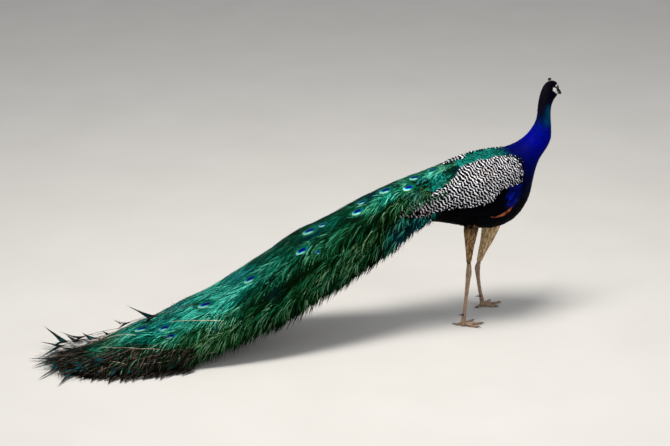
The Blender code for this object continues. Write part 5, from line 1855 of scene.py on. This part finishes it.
def bill(horn, dark):
    """Both halves of the bill, the gape line between them, and the nostrils."""
    for name, upper in (("upper", True), ("lower", False)):
        rings = []
        for at in np.linspace(0, len(BILL_PROFILE) - 1, 26):
            x, culmen, gape, gonys, width = rows_at(BILL_PROFILE, at)
            gape += 0.0002 if upper else -0.0002
            edge = culmen if upper else gonys
            turn = np.linspace(0, math.pi, 17)
            lip = 1 + 0.06 * np.exp(-((np.minimum(turn, math.pi - turn)) ** 2) / 0.05)
            y = width * np.cos(turn) * lip * (1.0 if upper else 0.90)
            z = gape + (edge - gape) * np.sin(turn) ** 0.85
            rings.append(turned(x - (0.0012 if upper else 0.0), y, z))
        points = np.array(rings)
        faces, node = ring_faces(points.shape), f"bill_{name}"
        add_piece(f"{node}_horn", points.reshape(-1, 3), faces, horn, replaces=[node])
    # the nostrils: thin near-black tubes along the bill, painted shade of the openings
    lines, radii = [], []
    for side in (-1, 1):
        share = np.linspace(0, 1, 9)
        x = 0.3165 + 0.0052 * share
        z = 0.7878 - 0.0018 * share + 0.0006 * np.sin(share * math.pi)
        y = side * (0.0056 - 0.0012 * share)
        lines.append(turned(x, y, z))
        radii.append(0.0008 * np.sin(0.25 + share * 2.6) + 0.0001)
    points, faces, _ = tubes(lines, radii, 8)
    add_piece("nostrils", points, faces, dark)


CREST_ROOT = (0.2690, 0.8270)  # (x, z) on the unturned profile
CREST_HEIGHT = 0.0160
CREST_SPREAD, CREST_LEAN = 54.0, 8.0  # degrees from the first quill to the last, and of the middle one
QUILLS, FAN_BARBS = 15, 15


def crest(quill_finish, fan_finish):
    """Bare quills with a little fan of barbs at each end."""
    lines, radii, fans, t = [], [], [], np.linspace(0, 1, 8)
    for quill in range(QUILLS):
        share = quill / (QUILLS - 1) - 0.5
        lean = math.radians(share * CREST_SPREAD + CREST_LEAN)
        reach = CREST_HEIGHT * (1.0 - 0.15 * (2 * share) ** 2 - chance.uniform(0, 0.10))
        out = (quill % 3 - 1) * 0.10 + chance.normal(0, 0.03)
        way = unit(head_way(math.sin(lean), out, math.cos(lean)))
        root = turned(CREST_ROOT[0] + share * 0.006, out * 0.010, CREST_ROOT[1] - 0.003)
        bend = head_way(-1.0, 0, 0) * (0.0010 * t**2)[:, None]
        line = root + way * (t * (reach - 0.001))[:, None] + bend
        lines.append(line)
        radii.append(np.linspace(0.00026, 0.00016, len(t)))
        side = unit(head_way(math.cos(lean), 0, -math.sin(lean)))
        facing = np.cross(way, side)
        open_by = np.linspace(-1, 1, FAN_BARBS)[:, None]
        begin = line[-1] - way * (0.0030 * np.abs(open_by) + 0.0020)
        ends = line[-1] + way * (0.0022 - 0.0012 * open_by**2) + side * (0.0022 * open_by)
        places = [begin + (ends - begin) * k / 4 for k in range(5)]
        rows = [(unit(ends - begin), np.tile(facing, (FAN_BARBS, 1)))] * 5
        fans.append(ribbons(places, rows, np.full(FAN_BARBS, 0.0006)))
    points, faces, _ = tubes(lines, radii, 5)
    add_piece("crest_quills", points, faces, quill_finish)
    points, faces, _ = gathered(fans)
    add_piece("crest_fans", points, faces, fan_finish, replaces=["crest"])


# ---------------------------------------------------------------- legs
SHANK_AROUND, TOE_AROUND = 36, 20  # points round a shank and a toe
SHANK_RINGS, TOE_RINGS = 190, 64
SCUTE_PITCH = 0.0075  # length of a plate down the front of the leg
SCUTE_DEPTH = 0.00055


def wrap(tree, middle, ahead, reach):
    """How far a CAD surface is from a point, all round, square to a line."""
    side = unit(np.cross(ahead, (0.0, 1.0, 0.0)))
    up = np.cross(side, ahead)
    found = []
    for turn in circle(SHANK_AROUND):
        way = side * math.cos(turn) + up * math.sin(turn)
        hit = tree.ray_cast(Vector(middle), Vector(way), reach)
        found.append(hit[3] if hit[0] is not None else np.nan)
    found = np.array(found)
    found[np.isnan(found)] = np.nanmean(found) if not np.isnan(found).all() else 0.004
    return found, side, up


def slice_middle(points, faces, height):
    """The middle of a solid's outline at a height."""
    ends = edges_of(faces)
    low, high = points[ends[:, 0]], points[ends[:, 1]]
    cut = (low[:, 2] - height) * (high[:, 2] - height) < 0
    low, high = low[cut], high[cut]
    share = ((height - low[:, 2]) / (high[:, 2] - low[:, 2]))[:, None]
    outline = low + (high - low) * share
    return (outline.max(0) + outline.min(0)) / 2


def scaled_shank(hand, finish):
    """The bare leg: overlapping plates down its front, small scales behind."""
    points, faces = solid(f"shank_{hand}")
    tree = tree_of(points, faces)
    low, high = points[:, 2].min(), points[:, 2].max()
    rings, rims, turn = [], [], circle(SHANK_AROUND)
    for height in np.linspace(high - 0.0012, low + 0.0012, SHANK_RINGS):
        middle = slice_middle(points, faces, height)
        radius, side, up = wrap(tree, middle, -UP, 0.03)
        radius = (radius + np.roll(radius, 1) + np.roll(radius, -1)) / 3
        way = side * np.cos(turn)[:, None] + up * np.sin(turn)[:, None]
        front = ease(0.0, 0.6, way[:, 0])
        plate = (height / SCUTE_PITCH + 0.10 * np.sin(turn * 2)) % 1.0
        small = (height / (SCUTE_PITCH * 0.45) + 0.5 * (np.floor(turn / 0.42) % 2)) % 1.0
        cell = np.abs(((turn / 0.42) % 1.0) - 0.5) * 2
        small_ridge = np.minimum(ease(0.0, 0.3, small), ease(1.0, 0.75, cell))
        small_rim = 1 - np.minimum(ease(0.0, 0.25, small), ease(1.0, 0.8, cell))
        ridge = front * (1 - plate) ** 0.7 + (1 - front) * small_ridge
        rims.append(front * ease(0.82, 1.0, plate) + (1 - front) * small_rim)
        rings.append(middle + way * (radius + SCUTE_DEPTH * (ridge - 0.6))[:, None])
    made = np.array(rings)
    last = np.arange(SHANK_AROUND)
    caps = [last[::-1][None], last[None] + (len(made) - 1) * SHANK_AROUND]
    faces = [ring_faces(made.shape, flip=True), *caps]
    marks, node = {"rim": np.array(rims).ravel()}, f"shank_{hand}"
    add_piece(f"scaled_{node}", made.reshape(-1, 3), faces, finish, marks, replaces=[node])


# radius of each toe at its root and its tip
TOE_RADII = {"middle": (0.0070, 0.0044), "outer": (0.0065, 0.0041), "inner": (0.0065, 0.0041)}
TOE_RADII["hind"] = (0.0054, 0.0036)
# height of each toe's middle at its root
TOE_STARTS = {"middle": 0.0085, "outer": 0.0085, "inner": 0.0085, "hind": 0.0170}
FOOT_MIDDLES = {"right": (-0.0655, -0.0765), "left": (0.0625, 0.0700)}
TOE_LOW = 0.0042  # height of a toe's middle at its tip


def scaled_toe(root, tip, start_height, radii):
    """One toe: plates over the top, soft pads below, flat where it meets the floor."""
    rings, rims = [], []
    length = np.linalg.norm(tip - root)
    ahead = (tip - root) / length
    side = np.array((-ahead[1], ahead[0], 0.0))
    turn = circle(TOE_AROUND)
    for share in np.linspace(0, 1, TOE_RINGS):
        height = TOE_LOW + (start_height - TOE_LOW) * (1 - share) ** 2
        middle = root + (tip - root) * share
        radius = radii[0] + (radii[1] - radii[0]) * share
        knuckle = 1 + 0.10 * math.cos(share * 13.0)
        top = ease(-0.2, 0.5, np.sin(turn))
        plate = (share * length / 0.0042) % 1.0
        ridge = top * (1 - plate) ** 0.8 * 0.0006 + (1 - top) * 0.0005 * np.sin(share * 60 + np.cos(turn) * 3)
        rims.append(top * float(ease(0.75, 1.0, plate)))
        reach = radius * knuckle + ridge - 0.0003
        ring = np.array((*middle[:2], height)) + side * (np.cos(turn) * reach)[:, None]
        ring[:, 2] += np.sin(turn) * reach
        ring[:, 2] = np.maximum(ring[:, 2], 0.0)
        rings.append(ring)
    points = np.array(rings)
    return points.reshape(-1, 3), ring_faces(points.shape), {"rim": np.array(rims).ravel()}


def scaled_foot(hand, finish):
    """Four toes and the ball under the leg."""
    x, y = FOOT_MIDDLES[hand]
    root = np.array((x, y, 0.0))
    parts = []
    for name, radii in TOE_RADII.items():
        claw_points, _ = solid(f"claw_{hand}_{name}")
        reach = np.linalg.norm(claw_points[:, :2] - root[:2], axis=1)
        near = claw_points[reach < reach.min() + 0.002].mean(0)
        tip = np.array((near[0], near[1], 0.0))
        parts.append(scaled_toe(root, tip, TOE_STARTS[name], radii))
    rings, turn = [], circle(TOE_AROUND)
    for height in np.linspace(0.0, 0.020, 24):
        radius = np.interp(height, (0.0, 0.004, 0.011, 0.020), (0.0082, 0.0100, 0.0092, 0.0072))
        radius = radius + 0.0004 * np.sin(turn * 7 + height * 900)
        ring = (x + radius * np.cos(turn), y + radius * np.sin(turn), np.full(TOE_AROUND, height))
        rings.append(np.stack(ring, 1))
    points = np.array(rings)
    parts.append((points.reshape(-1, 3), ring_faces(points.shape), {"rim": 0.3}))
    points, faces, marks = joined(parts)
    node = f"foot_{hand}"
    add_piece(f"scaled_{node}", points, faces, finish, marks, replaces=[node])


def horn_parts(horn):
    """Claws and spurs keep their solids, rounded."""
    names = [f"claw_{hand}_{toe}" for hand, _ in HANDS for toe in TOE_RADII]
    names += [f"spur_{hand}" for hand, _ in HANDS]
    for name in names:
        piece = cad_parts[name]
        for slot in piece.material_slots:
            slot.material = horn
        rounding = piece.modifiers.new("rounding", "SUBSURF")
        rounding.levels = rounding.render_levels = 2


# ---------------------------------------------------------------- true tail
TAIL_FEATHERS = 18


def tail_fan(finish):
    """The short true tail under the train: overlapping blades in a drooping fan."""
    parts = []
    along, across, faces = vane_grid(np.linspace(0, 1, 14), np.linspace(-1, 1, 7))
    for number in range(TAIL_FEATHERS):
        share = 2 * number / (TAIL_FEATHERS - 1) - 1
        root = np.array((-0.318, 0.020 * share, 0.421 - 0.010 * share**2))
        tip = np.array((-0.685 + 0.030 * share**2, 0.072 * share, 0.189 - 0.020 * share**2))
        line = root + (tip - root) * along[:, None]
        line[:, 2] += 0.012 * np.sin(along * math.pi) - 0.0012 * np.abs(share) * 6
        half = 0.0150 * np.interp(along, (0, 0.2, 0.8, 0.95, 1.0), (0.25, 0.8, 1.0, 0.7, 0.2))
        line[:, 1] += half * across
        line[:, 2] -= 0.0022 * across**2 + 0.0007 * (number % 2)
        parts.append((line, faces, {"along": along, "tint": chance.random()}))
    points, faces, marks = joined(parts)
    add_piece("tail_fan", points, faces, finish, marks, replaces=["tail"])


# ---------------------------------------------------------------- stage
CAMERA_AT = (-2.749, -6.895, 3.041)  # from the bird's origin, as the lamps' places are
CAMERA_TURN, CAMERA_TILT = math.radians(-18.0), math.radians(20.0)
CAMERA_LENS = 122.5
FLOOR = 40.0  # half the floor's size
SKY_COLOUR, SKY_LIGHT = (0.92, 0.95, 1.0, 1.0), 0.42
AIM = Vector((-0.4, 0.0, 0.3))  # where every lamp points
# name, place, watts, size and colour of each lamp
LAMPS = (
    ("key", (-0.7, -0.4, 4.2), 215.0, 1.4, (1.0, 0.97, 0.92)),
    ("front", (2.2, -4.0, 3.0), 60.0, 2.5, (1.0, 1.0, 1.0)),
    ("side", (-4.0, -3.0, 2.4), 30.0, 2.5, (0.95, 0.98, 1.0)),
)


def set_stage():
    """Pale floor, soft lights and the camera."""
    corners = [(-FLOOR, -FLOOR, 0), (FLOOR, -FLOOR, 0), (FLOOR, FLOOR, 0), (-FLOOR, FLOOR, 0)]
    mesh = bpy.data.meshes.new("floor")
    mesh.from_pydata(corners, [], [(0, 1, 2, 3)])
    m = Mixing("pale_floor")
    tone = m.blend(m.noise(3.0, 4.0), (0.50, 0.485, 0.46), (0.56, 0.545, 0.52))
    mesh.materials.append(m.done(tone, 0.8))
    floor = placed("floor", mesh)
    world = bpy.data.worlds.new("soft_sky")
    world.use_nodes = True
    sky = world.node_tree.nodes["Background"].inputs
    sky[0].default_value, sky[1].default_value = SKY_COLOUR, SKY_LIGHT
    bpy.context.scene.world = world
    for name, place, power, size, tone in LAMPS:
        light = bpy.data.lights.new(name, "AREA")
        light.energy, light.size, light.color = power, size, tone
        lamp = placed(name, light)
        lamp.location = Vector(place) + Vector(ORIGIN)
        lamp.rotation_euler = (AIM - Vector(place)).to_track_quat("-Z", "Y").to_euler()
    camera = placed("camera", bpy.data.cameras.new("camera"))
    camera.data.lens = CAMERA_LENS
    camera.location = Vector(CAMERA_AT) + Vector(ORIGIN)
    level = math.cos(CAMERA_TILT)
    back = (math.sin(CAMERA_TURN) * level, -math.cos(CAMERA_TURN) * level, math.sin(CAMERA_TILT))
    camera.rotation_euler = Vector(back).to_track_quat("Z", "Y").to_euler()
    bpy.context.scene.camera = camera
    bpy.context.scene.view_settings.view_transform = "Standard"


# Simple finishes: low and high tone, scale of the patches, roughness and the rest
SIMPLE = {
    "bill_horn": ((0.004, 0.004, 0.005), (0.014, 0.012, 0.012), 120.0, 0.42, dict(grain=0.2, gloss=0.08)),
    "nostril_shade": ((0.010, 0.008, 0.008), (0.020, 0.016, 0.014), 200.0, 0.6, {}),
    "lid_skin": ((0.012, 0.012, 0.018), (0.040, 0.038, 0.046), 400.0, 0.5, dict(grain=0.4)),
    "pale_shaft": ((0.380, 0.300, 0.210), (0.720, 0.620, 0.480), 60.0, 0.45, {}),
    # the train's bed, near black: painted shade under the loose barbs
    "train_shade_underlay": ((0.000, 0.003, 0.002), (0.001, 0.010, 0.006), 60.0, 0.7, dict(grain=0.4, gloss=0.1)),
    "dark_shaft": ((0.020, 0.014, 0.010), (0.110, 0.085, 0.062), 60.0, 0.5, {}),
    "tail_brown": ((0.085, 0.058, 0.040), (0.160, 0.115, 0.080), 50.0, 0.6, dict(grain=0.3)),
    "chestnut": ((0.070, 0.014, 0.004), (0.340, 0.095, 0.028), 70.0, 0.6, dict(grain=0.4, gloss=0.1)),
    "crest_blue": ((0.001, 0.006, 0.020), (0.002, 0.020, 0.050), 150.0, 0.4, dict(metal=0.2)),
    "crest_quill": ((0.060, 0.050, 0.042), (0.140, 0.120, 0.100), 200.0, 0.5, {}),
}


def main():
    plumage, barbs = plumage_finish(), lock_finish()
    simple = {name: simple_finish(name, *tones, **rest) for name, (*tones, rest) in SIMPLE.items()}
    skin = Skin()
    marks = {**skin.marks, "tint": 0.4, "shade": 0.50}
    add_piece("skin", skin.points, skin.faces, plumage, marks, replaces=FLESH + WING_NODES)
    dress_body(skin, plumage)
    dress_wings(skin, barred_finish())
    chestnut_blades(skin, simple["chestnut"])
    train_bed(simple["train_shade_underlay"])
    dress_train(barbs)
    overlap_barbs(barbs)
    edge_fringe(barbs)
    end_tangle(barbs)
    floor_tangle(barbs)
    near_prongs(barbs)
    ocelli(ocellus_finish())
    spot_barbs(barbs)
    train_shafts(simple["pale_shaft"])
    forked_plumes(fork_finish(), simple["dark_shaft"])
    tail_fan(simple["tail_brown"])
    for hand, side in HANDS:
        eyeball(hand, side, eye_finish())
        eye_lids(skin, hand, side, simple["lid_skin"])
        scaled_shank(hand, leg_finish())
        scaled_foot(hand, leg_finish())
    bill(simple["bill_horn"], simple["nostril_shade"])
    crest(simple["crest_quill"], simple["crest_blue"])
    horn_parts(simple["bill_horn"])
    set_stage()


main()
